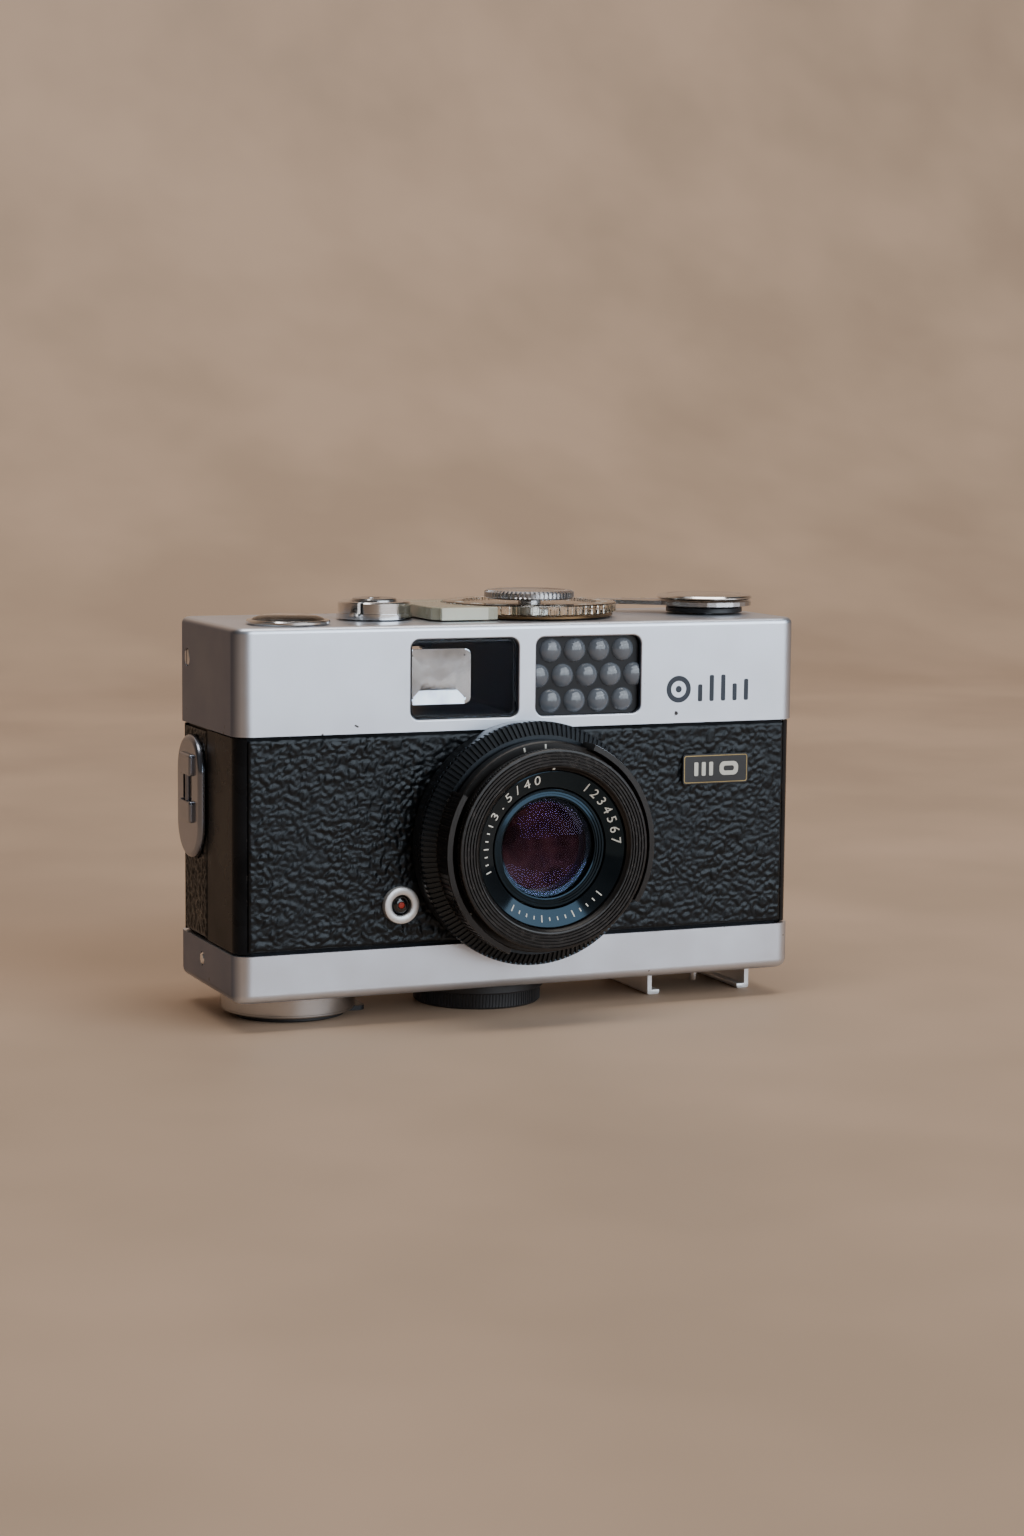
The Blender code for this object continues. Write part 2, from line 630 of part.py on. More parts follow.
def make_lever(root, steel, chrome, black):
    at = make_empty("lever_pivot", (*LEVER_AT, 0.0), parent=root)
    add_object("lever_base", ring_mesh(LEVER_RADIUS - 1.5, 2.4, TOP + 0.3, TOP + 1.1, 32), black, at)
    low = TOP + 1.4
    high = TOP + 2.1
    tip = 151.0
    hub = arc(LEVER_RADIUS - 1.0, tip - 55.0, tip + 35.0, 8)
    middle = (LEVER_REACH * math.cos(math.radians(tip)), LEVER_REACH * math.sin(math.radians(tip)))
    finger = arc(1.6, tip + 80.0, tip - 80.0, 6, middle)
    lever = add_object("advance_lever", disc_mesh(LEVER_RADIUS, low, high), steel, at)
    join(lever, outline_mesh(hub + finger, low, high))
    join(lever, disc_mesh(2.0, GEAR_HIGH + 0.4, TOP + 1.8, steps=24))
    cap = [
        (0, TOP + 3.5),
        (LEVER_RADIUS - 0.8, TOP + 3.4),
        (LEVER_RADIUS + 0.1, TOP + 3.0),
        (LEVER_RADIUS + 0.1, TOP + 2.4),
        (0, TOP + 2.4),
    ]
    add_object("lever_cap", turned_mesh(cap, steps=40), chrome, at)


def make_transport(root, black):
    """Take-up spool and film sprocket, each with the gear that couples them on its shaft."""
    dx = SPROCKET_AT[0] - LEVER_AT[0]
    dy = SPROCKET_AT[1] - LEVER_AT[1]
    distance = math.hypot(dx, dy)
    towards = math.degrees(math.atan2(dy, dx))
    tip = distance / 2 + TOOTH_HEIGHT / 2 - 0.1
    root_radius = distance / 2 - TOOTH_HEIGHT / 2 - 0.15
    half_pitch = 180.0 / GEAR_TEETH
    low = 4.0
    high = CHAMBER_TOP - 0.5
    spool_at = make_empty("spool_pivot", (*LEVER_AT, 0.0), parent=root)
    spool = [
        (0, GEAR_LOW + 0.5),
        (1.65, GEAR_LOW + 0.5),
        (1.65, high),
        (SPOOL_FLANGE, high),
        (SPOOL_FLANGE, high - 1.2),
        (5.4, high - 1.2),
        (5.4, low + 1.2),
        (SPOOL_FLANGE, low + 1.2),
        (SPOOL_FLANGE, low),
        (0, low),
    ]
    reel = add_object("take_up_spool", turned_mesh(spool, steps=24), black, spool_at)
    cut(reel, block_mesh((-0.6, -8.0, 9.0), (0.6, -2.0, high - 5.0)))
    wheel = outline_mesh(wheel_outline(GEAR_TEETH, root_radius, tip, towards), GEAR_LOW, GEAR_HIGH)
    join(reel, wheel)

    sprocket_at = make_empty("sprocket_pivot", (*SPROCKET_AT, 0.0), parent=root)
    roller = [
        (0, GEAR_LOW + 0.5),
        (1.45, GEAR_LOW + 0.5),
        (1.45, high),
        (4.6, high),
        (4.6, high - 5.0),
        (3.6, high - 5.6),
        (3.6, low + 5.6),
        (4.6, low + 5.0),
        (4.6, low),
        (0, low),
    ]
    sprocket = add_object("sprocket_roller", turned_mesh(roller, steps=16), black, sprocket_at)
    for height in (low + 2.4, high - 3.0):
        join(sprocket, outline_mesh(wheel_outline(8, 4.4, 5.4, 0.0, 0.18), height, height + 0.9))
    first = towards + 180.0 + half_pitch
    wheel = outline_mesh(wheel_outline(GEAR_TEETH, root_radius, tip, first), GEAR_LOW, GEAR_HIGH)
    join(sprocket, wheel)


def make_lens(root, black, gloss, glass, steel):
    """Everything on the lens axis. Heights are distances out from the front face."""
    axis = make_empty("lens_axis", (LENS_X, 0.0, LENS_Z), (90.0, 0.0, 0.0), root)
    bore = TUBE_RADIUS + FIT
    flange = [
        (FLANGE_RADIUS - 0.5, FLANGE_LENGTH),
        (FLANGE_RADIUS - 0.2, FLANGE_LENGTH - 0.3),
        (FLANGE_RADIUS, 0.25),
        (NECK_RADIUS, 0.25),
        (NECK_RADIUS, -9.0),
        (bore, -9.0),
        (bore, FLANGE_LENGTH),
    ]
    add_object("lens_flange", turned_mesh(flange, 48), black, axis)

    inner = TUBE_RADIUS - TUBE_WALL
    web = -3.2
    tube = [
        (TUBE_RADIUS, FLANGE_LENGTH),
        (TUBE_RADIUS, -TUBE_DEPTH),
        (inner, -TUBE_DEPTH),
        (inner, web),
        (GLASS_RADIUS - 1.9, web),
        (GLASS_RADIUS - 1.9, web + 1.0),
        (inner, web + 1.0),
        (inner, FLANGE_LENGTH),
    ]
    add_object("lens_tube", turned_mesh(tube, 32), steel, axis)
    rear = [(0, -0.2), (6.6, -0.9), (6.6, -1.9), (0, -1.7)]
    add_object("rear_element", turned_mesh(rear, 24), glass, axis)

    base = FLANGE_LENGTH + GAP
    deck = base + 0.8
    housing_top = base + 5.6
    housing = [
        (TUBE_RADIUS + 0.2, housing_top),
        (TUBE_RADIUS + 0.2, base),
        (STOP_RADIUS, base),
        (STOP_RADIUS, deck),
        (CELL_RADIUS + 0.4, deck),
        (CELL_RADIUS + 0.4, housing_top),
    ]
    add_object("shutter_housing", turned_mesh(housing, 32), black, axis)
    middle = [(0, deck + 0.8), (6.4, deck + 1.1), (6.4, deck + 0.3), (0, deck + 0.5)]
    add_object("middle_element", turned_mesh(middle, 24), glass, axis)

    lobe_radius = inner - BLADE_MARGIN
    pivot_up = inner - BLADE_PIVOT_INSET
    ear_up = pivot_up + 0.7
    for side, name in ((-1, "shutter_blade_left"), (1, "shutter_blade_right")):
        level = 2.4 if side < 0 else 1.8
        pivot = make_empty(name + "_pivot", (side * 5.5, pivot_up, 0.0), parent=axis)
        lobe = arc(lobe_radius, 90.0, 270.0, 16) + [(0.6, -lobe_radius), (0.6, lobe_radius)]
        ear_in = (3.0 - lobe_radius, lobe_radius - 2.0)
        ear = [ear_in, (-4.6, ear_up), (-6.4, ear_up), (0.4 - lobe_radius, 3.0)]
        shift = Matrix.Translation(Vector((5.5, -pivot_up, 0.0)) * MM)
        blade_mesh = outline_mesh(lobe, level, level + 0.3)
        ear_mesh = outline_mesh(ear, level, level + 0.3)
        for mesh in (blade_mesh, ear_mesh):
            mesh.transform(shift)
            if side > 0:
                mesh.transform(Matrix.Scale(-1, 4, (1, 0, 0)))
                mesh.flip_normals()
        blade = add_object(name, blade_mesh, steel, pivot)
        join(blade, ear_mesh)

    ring_bore = TUBE_RADIUS + 0.5
    speed_low = base
    speed_high = base + 2.9
    teeth = 48
    speed = [
        (SPEED_RING_RADIUS - 2.1, speed_high),
        (SPEED_RING_RADIUS, speed_low + 1.3),
        (SPEED_RING_RADIUS, speed_low),
        (ring_bore, speed_low),
        (ring_bore, speed_high),
    ]
    speed_mesh = turned_mesh(speed, teeth)
    flute(speed_mesh, teeth, 0.5, speed_low - 1.0, speed_high + 1.0, SPEED_RING_RADIUS - 2.3)
    add_object("speed_ring", speed_mesh, black, axis)

    stop_low = speed_high + 0.4
    stop_high = stop_low + 2.2
    grip_high = LENS_LENGTH - 1.0
    ring = add_object(
        "aperture_ring", ring_mesh(APERTURE_RING_RADIUS, ring_bore, stop_low, stop_high, 40), black, axis
    )
    for start in (GRIP_START, GRIP_START + 180.0):
        end = start + GRIP_ANGLE
        outline = arc(GRIP_RADIUS, start, end, 10) + arc(APERTURE_RING_RADIUS - 0.1, end, start, 10)
        join(ring, outline_mesh(outline, stop_low, grip_high))

    head_low = stop_high + GAP
    neck = HEAD_RADIUS - 0.45
    teeth = 40
    head = [
        (HEAD_RADIUS - 0.2, LENS_LENGTH),
        (HEAD_RADIUS, LENS_LENGTH - 0.2),
        (HEAD_RADIUS, LENS_LENGTH - 1.3),
        (neck, LENS_LENGTH - 1.5),
        (neck, head_low),
        (NAME_RADIUS + 0.1, head_low),
        (NAME_RADIUS + 0.1, LENS_LENGTH - 0.75),
        (NAME_RADIUS + 0.45, LENS_LENGTH - 0.1),
        (NAME_RADIUS + 0.6, LENS_LENGTH),
    ]
    head_mesh = turned_mesh(head, teeth)
    flute(head_mesh, teeth, 0.16, LENS_LENGTH - 1.4, LENS_LENGTH - 0.1, HEAD_RADIUS - 0.1)
    add_object("focus_ring", head_mesh, black, axis)
    name = [
        (NAME_RADIUS - FIT, LENS_LENGTH - 0.9),
        (NAME_RADIUS - FIT, head_low + 0.2),
        (CELL_RADIUS + 0.3, head_low + 0.2),
        (CELL_RADIUS + 0.3, LENS_LENGTH - 2.1),
    ]
    add_object("name_ring", turned_mesh(name, 48), gloss, axis)
    cell_high = LENS_LENGTH - 2.2
    seat = cell_high - 2.4
    cell = [
        (CELL_RADIUS, cell_high),
        (CELL_RADIUS, deck + 1.6),
        (GLASS_RADIUS - 0.9, deck + 1.6),
        (GLASS_RADIUS - 0.9, seat),
        (GLASS_RADIUS + 0.15, seat),
        (GLASS_RADIUS + 0.15, cell_high - 0.5),
    ]
    add_object("front_cell", turned_mesh(cell, 36), black, axis)
    bow = 22.0
    edge = seat + 0.95
    surface = []
    for index in range(4, -1, -1):
        r = GLASS_RADIUS * index / 4
        rise = math.sqrt(bow**2 - r**2) - math.sqrt(bow**2 - GLASS_RADIUS**2)
        surface.append((r, edge + rise))
    element = [*surface, (0, seat + 0.2), (GLASS_RADIUS, seat + 0.2)]
    add_object("front_element", turned_mesh(element, 32), glass, axis)


def make_front_details(root, silver, gloss, black, steel):
    at = make_empty("sync_axis", (SYNC_AT[0], 0.0, SYNC_AT[1]), (90.0, 0.0, 0.0), root)
    floor = -(SKIN_FRONT - GAP)
    ring = [
        (SYNC_RADIUS - 0.25, 0.75),
        (SYNC_RADIUS, 0.5),
        (SYNC_RADIUS, floor),
        (1.65, floor),
        (1.65, 0.6),
        (1.9, 0.75),
    ]
    add_object("sync_ring", turned_mesh(ring, 24), silver, at)
    plug = [(0, 0.5), (0.35, 0.5), (0.5, 0.25), (1.1, 0.35), (1.45, 0.0), (1.45, -3.0), (0, -3.0)]
    add_object("sync_insulator", turned_mesh(plug, 24), gloss, at)
    half_x = BADGE_SIZE[0] / 2
    half_z = BADGE_SIZE[1] / 2
    badge = block_mesh(
        (BADGE_AT[0] - half_x, -0.5, BADGE_AT[1] - half_z),
        (BADGE_AT[0] + half_x, LEATHER_FACE - 0.25, BADGE_AT[1] + half_z),
    )
    add_object("badge_plate", badge, black, root)
    for side, name in ((-1, "cover_screw_left"), (1, "cover_screw_right")):
        place = (side * HALF_WIDTH, BODY_DEPTH - 5.2, TOP - 6.3)
        screw = add_object(name, screw_mesh(side), steel, root, place)
        cut(screw, block_mesh((-0.3, -0.2, -3.0), (0.3, 0.2, 3.0)), (side * (HALF_WIDTH + 0.1), *place[1:]))


def screw_mesh(side):
    """A cheese-head screw along X whose head faces out on its own side."""
    mesh = turned_mesh(
        [(0, 0.1), (SCREW_RADIUS, 0.1), (SCREW_RADIUS, -0.8), (0.7, -0.8), (0.7, -2.6), (0, -2.6)],
        24,
        axis="X",
    )
    if side > 0:
        mesh.transform(Matrix.Rotation(math.pi, 4, "Z"))
    return mesh


def make_lug(root, chrome):
    """The strap lug: an oval plate with two ears and the strap bar between them."""
    face = -(SKIN_HALF + 0.25 + GAP)
    thick = 0.7
    half_y = LUG_SIZE[0] / 2
    half_z = LUG_SIZE[1] / 2
    oval = arc(half_y, 0.0, 180.0, 14, (0.0, half_z - half_y))
    oval += arc(half_y, 180.0, 360.0, 14, (0.0, half_y - half_z))
    plate = outline_mesh(oval, 0.0, thick)
    turn = Matrix.Rotation(math.radians(-90), 4, "Z") @ Matrix.Rotation(math.radians(90), 4, "X")
    plate.transform(turn)
    place = (face, *LUG_AT)
    lug = add_object("strap_lug", plate, chrome, root, place)
    out = HALF_WIDTH + LUG_OUT + face
    for height in (5.2, -2.3):
        ear = block_mesh((-out, -3.0, height - 1.6), (-0.2, 3.0, height + 1.6), 1.0, axis=0)
        join(lug, ear, place)
    cut(lug, block_mesh((-out - 1.0, -2.2, -0.7), (-0.2, 2.2, 3.6)), place)
    join(lug, disc_mesh(0.5, -1.6, 4.6, steps=16), (face - out + 0.55, *LUG_AT))


def make_back(back, silver, black, steel):
    """The removable back with the bottom cover and what they carry."""
    cup = block_mesh(
        (-HALF_WIDTH, 0.0, 0.0), (HALF_WIDTH, BODY_DEPTH, BOTTOM_HIGH), CORNER, 1.3, rim_side=-1
    )
    cover = add_object("bottom_cover", cup, silver, back)
    inside = block_mesh(
        (-HALF_WIDTH + WALL, WALL, WALL), (HALF_WIDTH - WALL, BODY_DEPTH - WALL, 20.0), CORNER - WALL
    )
    cut(cover, inside)
    cut(cover, disc_mesh(2.1, -2.0, 3.0, steps=24), (*REWIND_AT, 0.0))
    cut(cover, disc_mesh(TRIPOD_RADIUS + 1.05, -2.0, 3.0, steps=32), (*LOCK_AT, 0.0))
    cut(cover, disc_mesh(1.15, -3.0, 3.0, steps=20, axis="X"), (-HALF_WIDTH, 17.8, 4.6))
    pin = disc_mesh(1.0, -1.2, 0.2, steps=20, axis="X")
    add_object("bottom_pin", pin, steel, back, (-HALF_WIDTH, 17.8, 4.6))

    slab = block_mesh(
        (-SKIN_HALF, 20.0, BOTTOM_HIGH + GAP), (SKIN_HALF, PANEL_BACK, TOP_LOW - GAP), CORNER
    )
    panel = add_object("back_panel", slab, black, back)
    cut(panel, block_mesh((-60.0, 10.0, 0.0), (60.0, PANEL_FRONT, 60.0)))
    tongue = block_mesh(
        (-CORE_HALF + 0.6, PANEL_FRONT, CORE_LOW), (CORE_HALF - 0.6, TONGUE_BACK, TOP_LOW + 1.5)
    )
    join(panel, tongue)
    plate = block_mesh(
        (-CHAMBER_EDGE + 0.3, FILM_PLANE + FILM_CHANNEL, LENS_Z - PLATE_HALF),
        (CHAMBER_EDGE - 0.3, FILM_PLANE + FILM_CHANNEL + PLATE, LENS_Z + PLATE_HALF),
        1.0,
        axis=1,
    )
    add_object("pressure_plate", plate, steel, back)


def make_rewind(back, silver, black, steel):
    at = make_empty("rewind_pivot", (*REWIND_AT, 0.0), parent=back)
    rim = -FOOT_HEIGHT + 0.8
    knob = [
        (0, -GAP),
        (REWIND_RADIUS - 0.5, -GAP),
        (REWIND_RADIUS, -GAP - 0.5),
        (REWIND_RADIUS, rim + 0.4),
        (REWIND_RADIUS - 0.4, rim),
        (REWIND_RADIUS - 1.1, rim),
        (REWIND_RADIUS - 1.1, rim + 1.1),
        (0, rim + 1.1),
    ]
    add_object("rewind_knob", turned_mesh(knob, 40), silver, at)
    fork = add_object("rewind_fork", disc_mesh(1.9, 0.0, 4.6, steps=24), steel, at)
    join(fork, block_mesh((-2.6, -0.6, 4.2), (2.6, 0.6, 7.2)))
    reach = REWIND_RADIUS - 1.9
    low = -0.75
    hinge = make_empty("crank_pivot", (-reach, 0.0, -FOOT_HEIGHT - low), parent=at)
    radius = REWIND_RADIUS - 1.5
    half_disc = disc_mesh(radius, low, 0.75, steps=36)
    crank = add_object("rewind_crank", half_disc, black, hinge, (reach, 0.0, 0.0))
    cut(crank, block_mesh((-20.0, -20.0, -3.0), (0.2, 20.0, 3.0)))
    tip = block_mesh((reach + 6.0, -3.2, low), (reach + REWIND_RADIUS + 1.4, 3.2, 0.0), 1.2)
    join(crank, tip)


def make_lock(back, black, brass):
    at = make_empty("lock_pivot", (*LOCK_AT, 0.0), parent=back)
    bore = TRIPOD_RADIUS + 1.05
    ring = [
        (LOCK_RADIUS, -GAP),
        (LOCK_RADIUS, -1.9),
        (LOCK_RADIUS - 0.6, -2.2),
        (LOCK_RADIUS - 0.6, -FOOT_HEIGHT + 0.3),
        (LOCK_RADIUS - 0.9, -FOOT_HEIGHT),
        (bore, -FOOT_HEIGHT),
        (bore, -GAP),
    ]
    lock = add_object("lock_ring", turned_mesh(ring, 36), black, at)
    join(lock, block_mesh((LOCK_RADIUS - 1.5, -2.6, -1.8), (LOCK_RADIUS + 1.9, 2.6, -0.5), 0.9))
    add_object(
        "tripod_bush", ring_mesh(bore - 0.25, TRIPOD_RADIUS, -FOOT_HEIGHT + 0.3, WALL - 0.1, 24), brass, at
    )


def make_shoe(back, silver, black, steel):
    half = SHOE_WIDTH / 2
    low_y = SHOE_AT[1] - SHOE_LENGTH / 2
    high_y = SHOE_AT[1] + SHOE_LENGTH / 2
    for side, name in ((-1, "shoe_rail_left"), (1, "shoe_rail_right")):
        outline = [
            (side * (half + RAIL), -GAP),
            (side * half, -GAP),
            (side * half, -FOOT_HEIGHT + RAIL),
            (side * (half - RAIL_FOOT + RAIL), -FOOT_HEIGHT + RAIL),
            (side * (half - RAIL_FOOT + RAIL), -FOOT_HEIGHT),
            (side * (half + RAIL), -FOOT_HEIGHT),
        ]
        rail = outline_mesh(outline, low_y, high_y)
        rail.transform(Matrix.Rotation(math.radians(90), 4, "X") @ Matrix.Scale(-1, 4, (0, 0, 1)))
        bm = bmesh.new()
        bm.from_mesh(rail)
        add_object(name, mesh_from(bm), silver, back, (SHOE_AT[0], 0.0, 0.0))
    base = block_mesh(
        (SHOE_AT[0] - half + 0.25, low_y + 0.5, -GAP - 0.8), (SHOE_AT[0] + half - 0.25, high_y, -GAP)
    )
    plate = add_object("shoe_base", base, black, back)
    cut(plate, disc_mesh(0.9, -4.0, 2.0, steps=16), (SHOE_AT[0], low_y + 2.0, 0.0))
    pin = turned_mesh([(0, -GAP), (0.7, -GAP), (0.7, -1.4), (0.5, -3.0), (0, -3.0)], 16)
    add_object("shoe_pin", pin, steel, back, (SHOE_AT[0], low_y + 2.0, 0.0))


def main():
    clear_scene()
    silver = make_material("satin_silver", (0.72, 0.73, 0.75), 0.38, 0.9)
    chrome = make_material("polished_steel", (0.78, 0.78, 0.8), 0.14, 1.0)
    steel = make_material("steel", (0.6, 0.6, 0.62), 0.3, 1.0)
    brass = make_material("brass", (0.72, 0.55, 0.25), 0.35, 1.0)
    black = make_material("black_metal", (0.02, 0.02, 0.022), 0.45)
    plastic = make_material("black_plastic", (0.025, 0.025, 0.027), 0.5)
    gloss = make_material("gloss_black", (0.01, 0.01, 0.012), 0.12)
    leather = make_material("leather", (0.03, 0.03, 0.032), 0.6)
    glass = make_material("glass", (0.85, 0.87, 0.9), 0.05, 0.0, 0.9)
    clear = make_material("clear_plastic", (0.85, 0.83, 0.76), 0.12, 0.0, 0.8)
    ivory = make_material("ivory_plastic", (0.8, 0.77, 0.64), 0.45)
    housing = make_material("cream_plastic", (0.62, 0.6, 0.5), 0.35)
    cell = make_material("selenium", (0.09, 0.08, 0.08), 0.4)
    white = make_material("white_disc", (0.85, 0.85, 0.82), 0.5)
    red = make_material("needle_red", (0.6, 0.06, 0.03), 0.5)

    origin = make_empty(
        "camera_origin",
        (LUG_OUT / 2, (LENS_LENGTH - BODY_DEPTH - 0.25) / 2, FOOT_HEIGHT),
    )
    back = make_empty("removable_back", parent=origin)
    make_top_cover(origin, silver)
    make_body_frame(origin, black)
    make_leather(origin, back, leather)
    make_finder(origin, plastic, glass)
    make_meter(origin, clear, ivory, cell, housing, steel, red)
    make_release(origin, chrome, steel)
    make_counter(origin, glass, white)
    make_lever(origin, steel, chrome, plastic)
    make_transport(origin, plastic)
    make_lens(origin, black, gloss, glass, steel)
    make_front_details(origin, silver, gloss, black, steel)
    make_lug(origin, chrome)
    make_back(back, silver, black, steel)
    make_rewind(back, silver, plastic, steel)
    make_lock(back, plastic, brass)
    make_shoe(back, silver, plastic, steel)


main()
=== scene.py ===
import math

import bmesh
import bpy
from mathutils import Matrix, Vector, noise


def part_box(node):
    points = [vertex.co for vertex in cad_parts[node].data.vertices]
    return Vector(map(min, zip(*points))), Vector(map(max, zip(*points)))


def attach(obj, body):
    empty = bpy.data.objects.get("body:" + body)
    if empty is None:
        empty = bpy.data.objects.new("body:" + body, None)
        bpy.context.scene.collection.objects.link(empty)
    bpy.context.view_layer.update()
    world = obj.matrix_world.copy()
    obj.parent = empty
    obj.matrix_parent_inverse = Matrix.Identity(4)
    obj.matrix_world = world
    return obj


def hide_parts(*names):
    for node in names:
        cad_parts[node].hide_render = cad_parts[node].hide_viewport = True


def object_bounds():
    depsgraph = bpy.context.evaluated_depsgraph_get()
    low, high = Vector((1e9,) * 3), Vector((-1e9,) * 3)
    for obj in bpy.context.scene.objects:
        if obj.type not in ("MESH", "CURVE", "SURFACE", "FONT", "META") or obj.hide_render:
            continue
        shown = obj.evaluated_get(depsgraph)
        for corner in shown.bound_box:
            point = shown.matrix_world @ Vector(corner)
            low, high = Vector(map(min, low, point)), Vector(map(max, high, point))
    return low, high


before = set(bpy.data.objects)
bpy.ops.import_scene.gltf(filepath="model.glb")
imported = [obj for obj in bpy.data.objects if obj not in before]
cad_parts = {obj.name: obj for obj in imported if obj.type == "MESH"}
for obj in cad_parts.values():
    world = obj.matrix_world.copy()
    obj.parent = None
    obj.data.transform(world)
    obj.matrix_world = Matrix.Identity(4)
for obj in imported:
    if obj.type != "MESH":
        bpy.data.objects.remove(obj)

cadLow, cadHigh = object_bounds()
mm = 0.001

# where the body stands: x is its middle, y its front face, z its underside
coverLow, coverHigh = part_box("top_cover")
bottomLow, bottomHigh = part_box("bottom_cover")
bodyX = (coverLow.x + coverHigh.x) / 2
bodyY = coverLow.y
bodyZ = bottomLow.z
halfWidth = (coverHigh.x - coverLow.x) / 2 / mm
depth = (coverHigh.y - coverLow.y) / mm
topZ = (coverHigh.z - bodyZ) / mm
seamHigh = (coverLow.z - bodyZ) / mm
seamLow = (bottomHigh.z - bodyZ) / mm
wall = 1.0
gap = 0.3


def spot(x, y, z):
    # a place on the camera in mm, as a world point
    return Vector((bodyX + x * mm, bodyY + y * mm, bodyZ + z * mm))


def middleOf(node):
    # a CAD node's middle in the camera's own mm
    low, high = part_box(node)
    mid = (low + high) / 2
    return ((mid.x - bodyX) / mm, (mid.y - bodyY) / mm, (mid.z - bodyZ) / mm)


def heights(node):
    # a CAD node's lowest and highest point in the same mm
    low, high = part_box(node)
    return (low.z - bodyZ) / mm, (high.z - bodyZ) / mm


def lastAdded():
    return bpy.context.view_layer.objects.active


def onlySelect(piece):
    if bpy.context.object and bpy.context.object.mode != "OBJECT":
        bpy.ops.object.mode_set(mode="OBJECT")
    bpy.ops.object.select_all(action="DESELECT")
    piece.select_set(True)
    bpy.context.view_layer.objects.active = piece


def settle(piece):
    # puts location, turn and scale into the mesh
    onlySelect(piece)
    bpy.ops.object.transform_apply(location=True, rotation=True, scale=True)


def openEdit(piece, kind="FACE", action="DESELECT"):
    onlySelect(piece)
    bpy.ops.object.mode_set(mode="EDIT")
    bpy.ops.mesh.select_mode(type=kind)
    bpy.ops.mesh.select_all(action=action)


def pickEdges(piece, test):
    bm = bmesh.from_edit_mesh(piece.data)
    for edge in bm.edges:
        edge.select = bool(test(edge))
    bm.select_flush_mode()
    bmesh.update_edit_mesh(piece.data)


def editFaces(piece, test):
    # edit mode with only the faces that pass the test selected
    openEdit(piece)
    bm = bmesh.from_edit_mesh(piece.data)
    for face in bm.faces:
        face.select = bool(test(face))
    bmesh.update_edit_mesh(piece.data)


def editEdges(piece, test):
    openEdit(piece, "EDGE")
    pickEdges(piece, test)


def closeEdit():
    bpy.ops.object.mode_set(mode="OBJECT")


def applyStep(piece, step):
    onlySelect(piece)
    bpy.ops.object.modifier_apply(modifier=step.name)


def cleanNormals(piece):
    onlySelect(piece)
    bpy.ops.object.mode_set(mode="EDIT")
    bpy.ops.mesh.select_all(action="SELECT")
    bpy.ops.mesh.remove_doubles(threshold=1e-6)
    bpy.ops.mesh.normals_make_consistent(inside=False)
    closeEdit()


def trim(piece, place, outwards):
    # cuts off what lies past a plane and closes the cut
    onlySelect(piece)
    bpy.ops.object.mode_set(mode="EDIT")
    bpy.ops.mesh.select_all(action="SELECT")
    bpy.ops.mesh.bisect(plane_co=place, plane_no=outwards, clear_outer=True, use_fill=True)
    closeEdit()


def runsAlong(edge, axis):
    return abs((edge.verts[1].co - edge.verts[0].co).normalized()[axis]) > 0.9


def roundWhere(piece, test, width, segments):
    editEdges(piece, test)
    bpy.ops.mesh.bevel(offset=width * mm, segments=segments, profile=0.5, affect="EDGES")
    closeEdit()


def softenEdges(piece, width, segments=2, angle=32):
    step = piece.modifiers.new("soften", "BEVEL")
    step.width = width * mm
    step.segments = segments
    step.limit_method = "ANGLE"
    step.angle_limit = math.radians(angle)
    step.use_clamp_overlap = True
    applyStep(piece, step)


def carve(piece, cutter, operation="DIFFERENCE"):
    step = piece.modifiers.new("carve", "BOOLEAN")
    step.operation = operation
    step.solver = "EXACT"
    step.object = cutter
    applyStep(piece, step)
    bpy.data.objects.remove(cutter, do_unlink=True)


def block(low, high, corner=0.0, axis=2, segments=12, rim=0.0, rimSide=1):
    # a cube drawn out to two corners in mm, its edges along one axis rounded, then one end's rim
    middle = [(h + l) / 2 for l, h in zip(low, high)]
    bpy.ops.mesh.primitive_cube_add(size=1.0, location=spot(*middle))
    piece = lastAdded()
    piece.scale = [(h - l) * mm for l, h in zip(low, high)]
    settle(piece)
    if corner:
        roundWhere(piece, lambda e: runsAlong(e, axis), corner, segments)
    if rim:
        end = spot(*(high if rimSide > 0 else low))[axis]
        around = lambda e: all(abs(v.co[axis] - end) < 1e-6 for v in e.verts)
        roundWhere(piece, around, rim, 6)
    return piece


